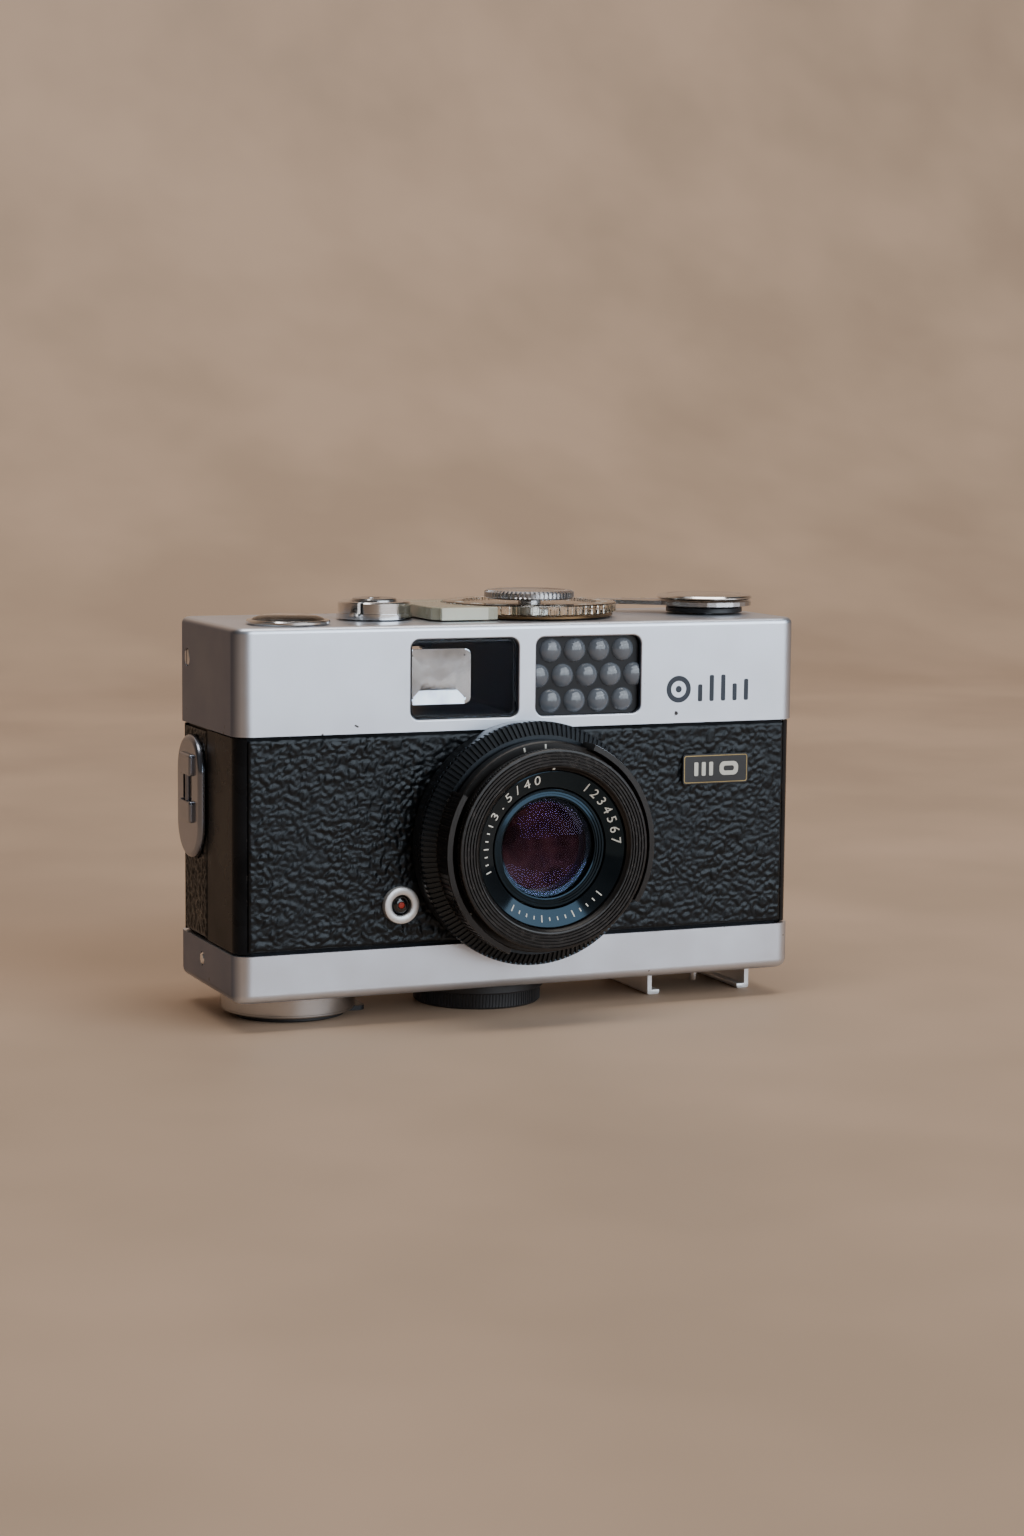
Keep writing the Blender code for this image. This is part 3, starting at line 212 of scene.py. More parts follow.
def turned(profile, steps=128):
    # a circle drawn up a closed (radius, height) outline in mm, like work on a lathe
    starts, ends = profile[0][0] < 1e-6, profile[-1][0] < 1e-6
    ring = profile[int(starts):len(profile) - int(ends)]
    bpy.ops.object.select_all(action="DESELECT")
    bpy.ops.mesh.primitive_circle_add(vertices=steps, radius=ring[0][0] * mm, location=(0, 0, 0))
    piece = lastAdded()
    piece.location.z = ring[0][1] * mm
    settle(piece)
    openEdit(piece, "EDGE", "SELECT")
    for (r0, h0), (r1, h1) in zip(ring, ring[1:]):
        move = {"value": (0, 0, (h1 - h0) * mm)}
        bpy.ops.mesh.extrude_region_move(TRANSFORM_OT_translate=move)
        k = r1 / r0
        bpy.ops.transform.resize(value=(k, k, 1), center_override=(0, 0, h1 * mm))
    caps = [(profile[0], ring[0])] * starts + [(profile[-1], ring[-1])] * ends
    for (_, height), (radius, level) in caps:
        pickEdges(piece, lambda e: e.is_boundary and all(abs(v.co.z - level * mm) < 1e-7
            and abs(v.co.xy.length - radius * mm) < 2e-6 for v in e.verts))
        bpy.ops.mesh.edge_face_add()
        bpy.ops.mesh.select_mode(type="FACE")
        bpy.ops.mesh.poke()
        bm = bmesh.from_edit_mesh(piece.data)
        for vert in bm.verts:
            if vert.co.xy.length < 1e-7 and abs(vert.co.z - level * mm) < 1e-6:
                vert.co.z = height * mm
        bmesh.update_edit_mesh(piece.data)
        bpy.ops.mesh.select_mode(type="EDGE")
        bpy.ops.mesh.select_all(action="DESELECT")
    if not caps:
        bpy.ops.mesh.select_all(action="DESELECT")
        pickEdges(piece, lambda e: e.is_boundary)
        bpy.ops.mesh.bridge_edge_loops()
    closeEdit()
    cleanNormals(piece)
    return piece


def rod(radius, start, end, steps=48):
    return turned([(0, start), (radius, start), (radius, end), (0, end)], steps)


def knurl(piece, teeth, cut, inset, test):
    # every second face of a turned wall is inset and pushed in, which leaves the teeth between
    def chosen(face):
        c = face.calc_center_median()
        turn = math.atan2(c.y, c.x) / (2 * math.pi) * teeth * 2
        return test(c.xy.length / mm, c.z / mm, face.normal) and math.floor(turn) % 2 == 0
    editFaces(piece, chosen)
    bpy.ops.mesh.inset(thickness=inset * mm, depth=-cut * mm, use_individual=True)
    closeEdit()


def standAt(piece, x, y, z, turnX=0.0, turnY=0.0, turnZ=0.0):
    piece.rotation_euler = [math.radians(a) for a in (turnX, turnY, turnZ)]
    piece.location = spot(x, y, z)
    settle(piece)
    return piece


def slitBox(low, high):
    # a cutter in a piece's own axes, before the piece is stood in place
    box = block(low, high)
    box.data.transform(Matrix.Translation(-spot(0, 0, 0)))
    return box


def joinAll(pieces):
    onlySelect(pieces[0])
    for piece in pieces[1:]:
        piece.select_set(True)
    if len(pieces) > 1:
        bpy.ops.object.join()
    return bpy.context.view_layer.objects.active


def hand(piece, name, body, finish, node=None, angle=30, flat=True):
    # names a finished piece, gives it its finish and puts it on its body
    piece.name = name
    piece.data.name = name
    piece.data.materials.clear()
    piece.data.materials.append(finishes[finish])
    onlySelect(piece)
    bpy.ops.object.shade_smooth_by_angle(angle=math.radians(angle))
    if flat:
        step = piece.modifiers.new("weights", "WEIGHTED_NORMAL")
        step.keep_sharp = True
        step.weight = 80
        bpy.ops.object.modifier_apply(modifier=step.name)
    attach(piece, body)
    if node:
        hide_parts(node)


# finishes: each is a Principled shader with grain, uneven roughness and worn edges; some also carry
# painted shade or painted reflection in their colour
def addNode(tree, kind, inputs=None, **settings):
    step = tree.nodes.new("ShaderNode" + kind)
    for key, value in settings.items():
        setattr(step, key, value)
    for socket, value in (inputs or {}).items():
        if isinstance(value, bpy.types.NodeSocket):
            tree.links.new(value, step.inputs[socket])
        else:
            step.inputs[socket].default_value = value
    return step


def grain(tree, scale, detail, stretch=(1, 1, 1)):
    # noise on object coordinates, in grains per mm
    where = addNode(tree, "TexCoord").outputs["Object"]
    fit = addNode(tree, "Mapping", {"Vector": where, "Scale": [s / mm for s in stretch]})
    fitted = fit.outputs["Vector"]
    pattern = addNode(tree, "TexNoise", {"Vector": fitted, "Scale": scale, "Detail": detail})
    return pattern.outputs["Fac"]


def spread(tree, value, fromLow, fromHigh, low=0.0, high=1.0):
    step = addNode(tree, "MapRange", {"Value": value, "From Min": fromLow, "From Max": fromHigh,
        "To Min": low, "To Max": high})
    return step.outputs["Result"]


def blendColour(tree, mask, first, second):
    first, second = ((*c, 1.0) if isinstance(c, tuple) else c for c in (first, second))
    step = addNode(tree, "Mix", {"Factor": mask, "A": first, "B": second}, data_type="RGBA")
    return step.outputs["Result"]


def normalOf(tree):
    return addNode(tree, "NewGeometry").outputs["Normal"]


def edgeMask(tree, radius):
    # light where the surface turns sharply within the radius, in mm
    rounded = addNode(tree, "Bevel", {"Radius": radius * mm}, samples=4).outputs["Normal"]
    compare = addNode(tree, "VectorMath", {0: rounded, 1: normalOf(tree)}, operation="DOT_PRODUCT")
    return spread(tree, compare.outputs["Value"], 0.97, 0.8)


def makeFinish(name, look):
    material = bpy.data.materials.new(name)
    material.use_nodes = True
    tree = material.node_tree
    shader = tree.nodes["Principled BSDF"]
    shader.inputs["Metallic"].default_value = look.get("metal", 0.0)
    for socket, value in look.get("sockets", {}).items():
        shader.inputs[socket].default_value = value
    fine = grain(tree, look["grain"], 5.0, look.get("stretch", (1, 1, 1)))
    broad = grain(tree, look.get("broad", 0.12), 3.0)
    darker = tuple(c * (1 - look["shade"]) for c in look["colour"])
    lighter = tuple(min(1.0, c * (1 + look["shade"])) for c in look["colour"])
    paint = blendColour(tree, spread(tree, broad, 0.35, 0.65), darker, lighter)
    # painted shade: faces that turn towards left or right take a darker, bluish colour, as if the
    # light left the sides dark
    if "sides" in look:
        split = addNode(tree, "SeparateXYZ", {0: normalOf(tree)}).outputs["X"]
        square = addNode(tree, "Math", {0: split, 1: 2.0}, operation="POWER").outputs["Value"]
        paint = blendColour(tree, spread(tree, square, 0.35, 0.95), paint, look["sides"])
    if "wear" in look:
        worn = look["wear"]
        patchy = spread(tree, grain(tree, worn["patch"], 4.0), worn["start"], worn["start"] + 0.12)
        edges = edgeMask(tree, worn["width"])
        both = addNode(tree, "Math", {0: edges, 1: patchy}, operation="MULTIPLY").outputs["Value"]
        paint = blendColour(tree, both, paint, worn["colour"])
    if "flecks" in look:
        fleck = look["flecks"]
        mask = spread(tree, grain(tree, fleck["size"], 2.0), fleck["start"], fleck["start"] + 0.02)
        paint = blendColour(tree, mask, paint, fleck["colour"])
    tree.links.new(paint, shader.inputs["Base Color"])
    roughness = spread(tree, broad, 0.3, 0.7, *look["rough"])
    tree.links.new(roughness, shader.inputs["Roughness"])
    relief = addNode(tree, "Bump", {"Strength": look["bump"], "Distance": look["relief"] * mm,
        "Height": fine})
    tree.links.new(relief.outputs["Normal"], shader.inputs["Normal"])
    return material


def surface(colour, rough, grainSize, bump, relief, shade, **more):
    # colour, lowest and highest roughness, grains per mm, bump and its relief in mm, and how
    # uneven the colour is
    return {"colour": colour, "rough": rough, "grain": grainSize, "bump": bump, "relief": relief,
        "shade": shade, **more}


looks = {
    "satinSilver": surface((0.66, 0.7, 0.78), (0.33, 0.4), 9.0, 0.35, 0.012, 0.03, metal=1.0,
        # the side colour below is painted shade for the faces that look left and right
        sides=(0.13, 0.16, 0.24),
        wear={"width": 0.35, "patch": 0.8, "start": 0.6, "colour": (0.42, 0.42, 0.43)},
        flecks={"size": 0.47, "start": 0.745, "colour": (0.05, 0.045, 0.045)}),
    "polishedSteel": surface((0.74, 0.74, 0.75), (0.1, 0.19), 5.0, 0.12, 0.01, 0.04, metal=1.0),
    "turnedSteel": surface((0.6, 0.6, 0.62), (0.2, 0.34), 7.0, 0.3, 0.015, 0.08, metal=1.0,
        stretch=(1, 1, 6)),
    "lugSteel": surface((0.25, 0.27, 0.32), (0.16, 0.27), 3.0, 0.15, 0.012, 0.12, metal=1.0),
    "knobSteel": surface((0.5, 0.5, 0.51), (0.17, 0.24), 5.0, 0.12, 0.008, 0.08, metal=1.0,
        sockets={"Anisotropic": 0.5}),
    "nameGloss": surface((0.006, 0.007, 0.008), (0.07, 0.14), 4.0, 0.05, 0.008, 0.3,
        sockets={"Specular Tint": (0.42, 0.72, 1.0, 1.0), "Specular IOR Level": 0.42}),
    "tunnelBlack": surface((0.008, 0.009, 0.012), (0.35, 0.5), 4.0, 0.1, 0.01, 0.3,
        sockets={"Specular IOR Level": 0.3}),
    "finderGlass": surface((0.97, 0.98, 0.99), (0.0, 0.02), 1.0, 0.01, 0.002, 0.01,
        sockets={"Transmission Weight": 1.0, "IOR": 1.5, "Specular Tint": (0.1, 0.14, 0.22, 1.0)}),
    "brass": surface((0.62, 0.44, 0.17), (0.25, 0.42), 6.0, 0.25, 0.015, 0.15, metal=1.0),
    "blackEnamel": surface((0.012, 0.012, 0.013), (0.2, 0.36), 6.0, 0.25, 0.015, 0.3,
        sockets={"Specular IOR Level": 0.07, "Specular Tint": (0.65, 0.8, 1.0, 1.0)},
        wear={"width": 0.15, "patch": 1.3, "start": 0.58, "colour": (0.09, 0.08, 0.075)}),
    "ringBlack": surface((0.011, 0.012, 0.014), (0.24, 0.36), 6.0, 0.25, 0.015, 0.3,
        sockets={"Specular IOR Level": 0.5, "Specular Tint": (0.72, 0.86, 1.0, 1.0)},
        wear={"width": 0.15, "patch": 1.3, "start": 0.6, "colour": (0.09, 0.085, 0.08)}),
    "lensBlack": surface((0.0095, 0.008, 0.0075), (0.26, 0.38), 8.0, 0.35, 0.014, 0.25, metal=0.25,
        wear={"width": 0.12, "patch": 1.1, "start": 0.54, "colour": (0.16, 0.14, 0.13)}),
    "blackPlastic": surface((0.016, 0.016, 0.018), (0.34, 0.5), 5.0, 0.3, 0.02, 0.25),
    "glossBlack": surface((0.006, 0.007, 0.008), (0.06, 0.13), 4.0, 0.05, 0.008, 0.3,
        sockets={"Coat Weight": 0.6, "Coat Roughness": 0.06}),
    "ivory": surface((0.72, 0.67, 0.52), (0.32, 0.46), 3.0, 0.15, 0.015, 0.08,
        sockets={"Subsurface Weight": 0.15}),
    "cream": surface((0.36, 0.34, 0.25), (0.2, 0.34), 2.5, 0.15, 0.015, 0.15,
        sockets={"Coat Weight": 0.3}),
    "selenium": surface((0.012, 0.012, 0.013), (0.3, 0.45), 3.0, 0.3, 0.02, 0.4, metal=0.3,
        stretch=(1, 1, 5)),
    "whiteDisc": surface((0.78, 0.77, 0.72), (0.45, 0.6), 6.0, 0.1, 0.01, 0.05),
    "whiteFill": surface((0.72, 0.7, 0.62), (0.45, 0.6), 9.0, 0.2, 0.01, 0.12),
    "inkBlue": surface((0.012, 0.022, 0.04), (0.3, 0.42), 8.0, 0.1, 0.01, 0.2),
    "goldLine": surface((0.35, 0.26, 0.12), (0.3, 0.45), 8.0, 0.15, 0.01, 0.15, metal=1.0),
    "needleRed": surface((0.5, 0.03, 0.012), (0.35, 0.5), 6.0, 0.1, 0.01, 0.12),
    "pebbleLeather": surface((0.004, 0.0047, 0.0058), (0.27, 0.42), 7.0, 0.5, 0.03, 0.3,
        sockets={"Specular IOR Level": 0.31, "Specular Tint": (0.86, 0.93, 1.0, 1.0)}),
    "clearGlass": surface((0.97, 0.98, 0.99), (0.0, 0.02), 1.0, 0.01, 0.002, 0.01,
        sockets={"Transmission Weight": 1.0, "IOR": 1.5}),
    "coatedGlass": surface((0.93, 0.9, 0.97), (0.0, 0.03), 1.0, 0.01, 0.002, 0.02,
        sockets={"Transmission Weight": 1.0, "IOR": 1.52,
            "Specular Tint": (0.055, 0.035, 0.13, 1.0)}),
    # the inner glass is opaque; its dark, patchy maroon colour is painted reflection from the
    # coatings and painted shade for the inside of the lens
    "innerGlassPaintedReflection": surface((0.024, 0.009, 0.008), (0.08, 0.2), 0.6, 0.15, 0.05, 0.85, broad=0.25,
        sockets={"Specular Tint": (1.0, 0.45, 0.5, 1.0), "Specular IOR Level": 0.08}),
    "clearPlastic": surface((0.93, 0.92, 0.86), (0.03, 0.1), 2.0, 0.05, 0.01, 0.03,
        sockets={"Transmission Weight": 1.0, "IOR": 1.49}),
    "bubblePlastic": surface((0.27, 0.3, 0.345), (0.03, 0.08), 2.0, 0.03, 0.006, 0.08,
        sockets={"Transmission Weight": 0.55, "IOR": 1.6}),
    "bladeSteel": surface((0.05, 0.05, 0.055), (0.35, 0.5), 4.0, 0.2, 0.01, 0.2, metal=0.9),
    "finderMirror": surface((0.52, 0.56, 0.61), (0.02, 0.08), 0.35, 0.15, 0.05, 0.25, metal=1.0,
        broad=0.18),
    "collarSilver": surface((0.82, 0.83, 0.84), (0.32, 0.45), 7.0, 0.2, 0.012, 0.05, metal=0.7),
    "dialPrint": surface((0.15, 0.085, 0.035), (0.28, 0.42), 3.0, 0.1, 0.01, 0.35, metal=0.6),
}
finishes = {name: makeFinish(name, look) for name, look in looks.items()}
print("finishes made:", len(finishes))


# covers
coverLook = {"corner": 2.8, "topRim": 1.0, "bottomRim": 1.5, "windowCorner": 1.4,
    "windowEdge": 0.28, "releaseHole": 4.9, "counterHole": 5.0, "leverHole": 2.3, "dialHole": 2.2,
    "screwHole": 1.45, "knobHole": 2.1, "bushHole": 4.2, "pinHole": 1.15}
finder = middleOf("viewfinder_window")
meter = middleOf("meter_window")
release = middleOf("release_collar")
counter = middleOf("counter_window")
leverAt = middleOf("lever_cap")
dialAt = middleOf("calculator_dial")
windowSize = (18.3, 12.6)
meterSize = (18.4, 12.6)
eyepieceSize = (10.0, 8.0)
windowZ = finder[2]


def windowBlock(x, size, yLow, yHigh, grow=0.0):
    halfX, halfZ = size[0] / 2 + grow, size[1] / 2 + grow
    corner = max(0.3, coverLook["windowCorner"] + grow)
    return block((x - halfX, yLow, windowZ - halfZ), (x + halfX, yHigh, windowZ + halfZ), corner,
        axis=1)


def makeTopCover():
    c = coverLook
    cover = block((-halfWidth, 0, seamHigh), (halfWidth, depth, topZ), c["corner"], rim=c["topRim"])
    inner = (halfWidth - wall, depth - wall)
    carve(cover, block((-inner[0], wall, seamHigh - 2), (inner[0], inner[1], topZ - wall),
        c["corner"] - wall))
    carve(cover, windowBlock(finder[0], windowSize, -1.0, 2.0))
    carve(cover, windowBlock(meter[0], meterSize, -1.0, 2.0))
    carve(cover, windowBlock(finder[0], eyepieceSize, depth - 2.0, depth + 1.0))
    for (x, y, z), radius in ((release, c["releaseHole"]), (counter, c["counterHole"]),
            (leverAt, c["leverHole"]), (dialAt, c["dialHole"])):
        carve(cover, standAt(rod(radius, 2, -3, 64), x, y, topZ))
    carve(cover, block((-12.0, 9.5, topZ - 3), (-9.0, 20.5, topZ + 1), 1.0))
    for node in ("cover_screw_left", "cover_screw_right"):
        x, y, z = middleOf(node)
        carve(cover, standAt(rod(c["screwHole"], 4, -4), x, y, z, turnY=90))
    level = spot(0, 0, windowZ).z
    middles = [spot(x, 0, 0).x for x in (finder[0], meter[0])]

    def nearWindow(place):
        across = min(abs(place.x - middle) for middle in middles)
        return place.y < bodyY + 1e-6 and abs(place.z - level) < 6.5 * mm and across < 9.3 * mm

    def atWindowEdge(edge):
        normals = [face.normal.y for face in edge.link_faces]
        corner = any(abs(n) < 0.5 for n in normals) and any(n < -0.9 for n in normals)
        return corner and all(nearWindow(v.co) for v in edge.verts)

    roundWhere(cover, atWindowEdge, c["windowEdge"], 3)
    hand(cover, "silver_top_cover", "camera_body", "satinSilver", "top_cover")


def makeBottomCover():
    c = coverLook
    cover = block((-halfWidth, 0, 0), (halfWidth, depth, seamLow), c["corner"], rim=c["bottomRim"],
        rimSide=-1)
    inner = (halfWidth - wall, depth - wall)
    carve(cover, block((-inner[0], wall, wall), (inner[0], inner[1], seamLow + 5),
        c["corner"] - wall))
    for node, radius in (("rewind_knob", c["knobHole"]), ("tripod_bush", c["bushHole"])):
        x, y, z = middleOf(node)
        carve(cover, standAt(rod(radius, 3, -3, 64), x, y, 0))
    x, y, z = middleOf("bottom_pin")
    carve(cover, standAt(rod(c["pinHole"], 3, -3), x, y, z, turnY=90))
    hand(cover, "silver_bottom_cover", "back", "satinSilver", "bottom_cover")


makeTopCover()
makeBottomCover()
print("covers made")


# the casting between the covers
frameLook = {"corner": 2.8, "boxTop": 1.1, "partition": 1.6, "skin": 0.45, "lensHole": 16.2,
    "syncHole": 1.8}
lensX = middleOf("lens_tube")[0]
lensZ = middleOf("lens_tube")[2]
syncAt = middleOf("sync_ring")
filmPlane = depth - 4.5
chamberEdge = 20.8
panelFront = depth - wall - gap - 1.2


def makeCasting():
    bodyBack = panelFront - gap
    coreHalf = halfWidth - wall - gap
    skinHalf = halfWidth - gap
    coreHigh = seamHigh + frameLook["boxTop"]
    chamberTop = seamHigh - 0.8
    low = seamLow + gap
    casting = block((-skinHalf, gap, low), (skinHalf, depth, seamHigh - gap), frameLook["corner"])
    carve(casting, block((-coreHalf, 1.3, 1.3), (coreHalf, 20, coreHigh), 1.8), "UNION")
    carve(casting, block((-coreHalf, 15, 1.3), (coreHalf, bodyBack, coreHigh)), "UNION")
    light = chamberEdge - frameLook["partition"]
    cuts = (
        block((-60, bodyBack, -5), (60, 40, 60)),
        block((-chamberEdge - 25.4, 2.3, 0), (-chamberEdge, 40, chamberTop), 0.8),
        block((chamberEdge, 2.3, 2.6), (coreHalf - 0.6, 40, chamberTop), 0.8),
        block((-light, 11, 8.4), (light, filmPlane - 1, chamberTop - 0.6), 0.8),
        block((-18, 20, lensZ - 12), (18, 40, lensZ + 12), 0.6, axis=1),
        block((-chamberEdge - 1, filmPlane, 0), (chamberEdge + 1, 40, chamberTop)),
        block((-halfWidth + 2, -1, 0), (halfWidth - 2, 0.87, seamHigh + 1)),
        block((-60, 15.6, 0), (-skinHalf + frameLook["skin"], bodyBack - 0.4, seamHigh - 0.2)),
        block((skinHalf - frameLook["skin"], 15.6, 0), (60, bodyBack - 0.4, seamHigh - 0.2)),
    )
    for cutter in cuts:
        carve(casting, cutter)
    carve(casting, standAt(rod(frameLook["lensHole"], 12, -5, 128), lensX, 0, lensZ, turnX=-90))
    carve(casting, standAt(rod(frameLook["syncHole"], 8, -2), syncAt[0], 0, syncAt[2], turnX=-90))
    for node, radius in (("take_up_spool", 1.9), ("sprocket_roller", 1.7)):
        x, y, z = middleOf(node)
        carve(casting, standAt(rod(radius, 50, 38), x, y, 0))
    x, y, z = release
    carve(casting, standAt(rod(1.8, 52.8, 41.9), x, y, 0), "UNION")
    carve(casting, standAt(rod(1.25, 60, 45.5), x, y, 0))
    hand(casting, "black_casting", "camera_body", "blackEnamel", "body_frame")


makeCasting()
print("casting made")


# leather: a fine grid whose points rise in pebbles and sink in the creases between them
leatherLook = {"pebble": 1.35, "relief": 0.26, "mesh": 0.24, "backMesh": 0.27, "warp": 0.8,
    "thick": 0.4, "border": 0.5, "sunk": 0.28, "lensHole": 17.6, "syncHole": 2.75, "seed": 5}
noise.seed_set(leatherLook["seed"])  # the same pebbles each run


def pebbleHeight(u, v, seed):
    p = Vector((u, v, seed)) / leatherLook["pebble"]
    bend = noise.noise_vector(p * 0.9) * leatherLook["warp"]
    near = noise.voronoi(p + bend, distance_metric="DISTANCE", exponent=2.5)[0]
    crease = min(1.0, (near[1] - near[0]) * 2.6)
    fine = noise.noise(Vector((u, v, seed + 9.0)) * 2.4)
    return leatherLook["relief"] * (crease ** 0.6 - 1.0) + 0.03 * fine


def leatherSheet(width, height, seed, fine=leatherLook["mesh"]):
    # a sheet in its own plane, rising along +Z, with a closed back
    across = max(8, round(width / fine))
    up = max(8, round(height / fine))
    bpy.ops.mesh.primitive_grid_add(x_subdivisions=across, y_subdivisions=up, size=1.0,
        location=(0, 0, 0))
    sheet = lastAdded()
    sheet.scale = (width * mm, height * mm, 1)
    settle(sheet)
    for vert in sheet.data.vertices:
        u, v = vert.co.x / mm, vert.co.y / mm
        edge = min(width / 2 - abs(u), height / 2 - abs(v))
        fall = min(1.0, edge / leatherLook["border"])
        vert.co.z = (pebbleHeight(u, v, seed) * fall - leatherLook["sunk"] * (1 - fall) ** 2) * mm
    step = sheet.modifiers.new("back", "SOLIDIFY")
    step.thickness = leatherLook["thick"] * mm
    step.offset = -1
    return sheet


def clearRound(sheet, u, v, radius):
    # takes out the faces under a ring that covers the cut
    test = lambda f: (f.calc_center_median() - Vector((u * mm, v * mm, 0))).xy.length < radius * mm
    editFaces(sheet, test)
    bpy.ops.mesh.delete(type="FACE")
    closeEdit()


def finishSheet(sheet, name, body, node, x, y, z, **turn):
    for step in list(sheet.modifiers):
        applyStep(sheet, step)
    standAt(sheet, x, y, z, **turn)
    hand(sheet, name, body, "pebbleLeather", node, angle=75, flat=False)


def makeLeather():
    lowZ, highZ = seamLow + 2 * gap, seamHigh - 2 * gap
    midZ, tall = (lowZ + highZ) / 2, highZ - lowZ
    half = halfWidth - 2.2
    for seed, (name, node, start, end) in enumerate((
        ("pebble_front_left", "front_leather_left", -half, lensX - 4.0),
        ("pebble_front_right", "front_leather_right", lensX + 4.0, half),
    )):
        mid, wide = (start + end) / 2, end - start
        sheet = leatherSheet(wide, tall, seed * 40.0)
        clearRound(sheet, lensX - mid, lensZ - midZ, leatherLook["lensHole"])
        if start < syncAt[0] < end:
            clearRound(sheet, syncAt[0] - mid, syncAt[2] - midZ, leatherLook["syncHole"])
        finishSheet(sheet, name, "camera_body", node, mid, 0.12, midZ, turnX=90)
    for side, name in ((-1, "left"), (1, "right")):
        _, y, z = middleOf("side_leather_" + name)
        sheet = leatherSheet(panelFront - gap - 0.7 - 15.9, tall, 90.0 + side)
        finishSheet(sheet, "pebble_side_" + name, "camera_body", "side_leather_" + name,
            side * (halfWidth - gap + 0.22), y, z, turnX=90, turnZ=90 * side)
    sheet = leatherSheet(2 * (halfWidth - 3.2), tall, 150.0, leatherLook["backMesh"])
    finishSheet(sheet, "pebble_back", "back", "back_leather", 0, depth - 0.08, midZ, turnX=90,
        turnZ=180)


makeLeather()
print("leather laid")


# lens: every ring is turned about its own axis first, height being the distance out from the front
def lensRing(ring, name, body, finish, node=None, angle=30):
    standAt(ring, lensX, 0, lensZ, turnX=90)
    hand(ring, name, body, finish, node, angle)


def keepArc(ring, start, end):
    # leaves only the part of a ring between two angles, with its ends closed
    def outside(face):
        c = face.calc_center_median()
        turn = math.degrees(math.atan2(c.y, c.x)) % 360
        return (turn - start) % 360 > end - start
    editFaces(ring, outside)
    bpy.ops.mesh.delete(type="FACE")
    bpy.ops.mesh.select_all(action="SELECT")
    bpy.ops.mesh.fill_holes(sides=0)
    closeEdit()
    cleanNormals(ring)
    return ring


def stampText(words, size, thick):
    bpy.ops.object.select_all(action="DESELECT")
    bpy.ops.object.text_add(location=(0, 0, 0))
    text = lastAdded()
    text.data.body = words
    text.data.size = size * mm
    text.data.extrude = thick * mm / 2
    text.data.align_x = "CENTER"
    text.data.align_y = "CENTER"
    text.data.resolution_u = 4
    onlySelect(text)
    bpy.ops.object.convert(target="MESH")
    return lastAdded()


def placeOnCone(stamp, angle, radius, height, slope):
    # the top of the stamp points outwards, and it lies back on the cone's slope
    a, s = math.radians(angle), math.radians(slope)
    right = Vector((math.sin(a), -math.cos(a), 0))
    up = Vector((math.cos(a) * math.cos(s), math.sin(a) * math.cos(s), math.sin(s)))
    turn = Matrix((right, up, right.cross(up))).transposed().to_4x4()
    stamp.matrix_world = Matrix.Translation(Vector((math.cos(a) * radius, math.sin(a) * radius,
        height)) * mm) @ turn
    settle(stamp)
    return stamp


def placeRound(words, start, step, radius, height, slope, size, thick=0.03):
    return [placeOnCone(stampText(letter, size, thick), start - i * step, radius, height, slope)
        for i, letter in enumerate(words)]


def smallBar(size):
    bpy.ops.object.select_all(action="DESELECT")
    bpy.ops.mesh.primitive_cube_add(size=1.0, location=(0, 0, 0))
    bar = lastAdded()
    bar.scale = [s * mm for s in size]
    settle(bar)
    softenEdges(bar, min(size) * 0.3, 2)
    return bar


flangeLook = {"outer": 19.2, "edge": 0.45}
speedLook = {"teeth": 140, "cut": 0.32, "inset": 0.06}
apertureLook = {"grips": ((148, 246), (328, 426)), "outer": 17.8, "inner": 16.75}
focusLook = {"grooves": (15.38, 14.88, 14.38, 13.88, 13.42), "width": 0.28, "deep": 0.24,
    "teeth": 190}
nameLook = {"size": 2.35, "radius": 11.1, "height": 11.01, "slope": 24.4}
cellLook = {"ridges": 3, "rise": 0.14, "sphere": 22}


def makeFlange():
    r = flangeLook["outer"]
    e = flangeLook["edge"]
    ring = turned([(15.05, 3.1), (r - e, 3.1), (r - 0.15, 3.1 - 0.15), (r, 3.1 - e), (r, 0.25),
        (15.9, 0.25), (15.9, -9.0), (15.05, -9.0)], 160)
    lensRing(ring, "flange_ring", "camera_body", "ringBlack", "lens_flange")


def makeTube():
    ring = turned([(14.2, 3.1), (14.9, 3.0), (14.9, -12.6), (14.6, -13.0), (14.2, -13.0),
        (13.9, -12.6), (13.9, -3.2), (6.0, -3.2), (6.0, -2.2), (13.9, -2.2), (13.9, 3.1)], 144)
    lensRing(ring, "polished_tube", "barrel", "turnedSteel", "lens_tube")


def makeSpeedRing():
    s = speedLook
    ring = turned([(15.4, 3.4), (18.6, 3.4), (19.5, 3.75), (19.5, 4.75), (17.5, 6.25), (16.9, 6.25),
        (16.9, 6.0), (15.4, 6.0)], s["teeth"] * 2)
    knurl(ring, s["teeth"], s["cut"], s["inset"], lambda r, h, n: 17.3 < r and 3.8 < h < 6.2
        and n.xy.length > 0.4)
    lensRing(ring, "speed_knurl_ring", "speed", "ringBlack", "speed_ring", 25)


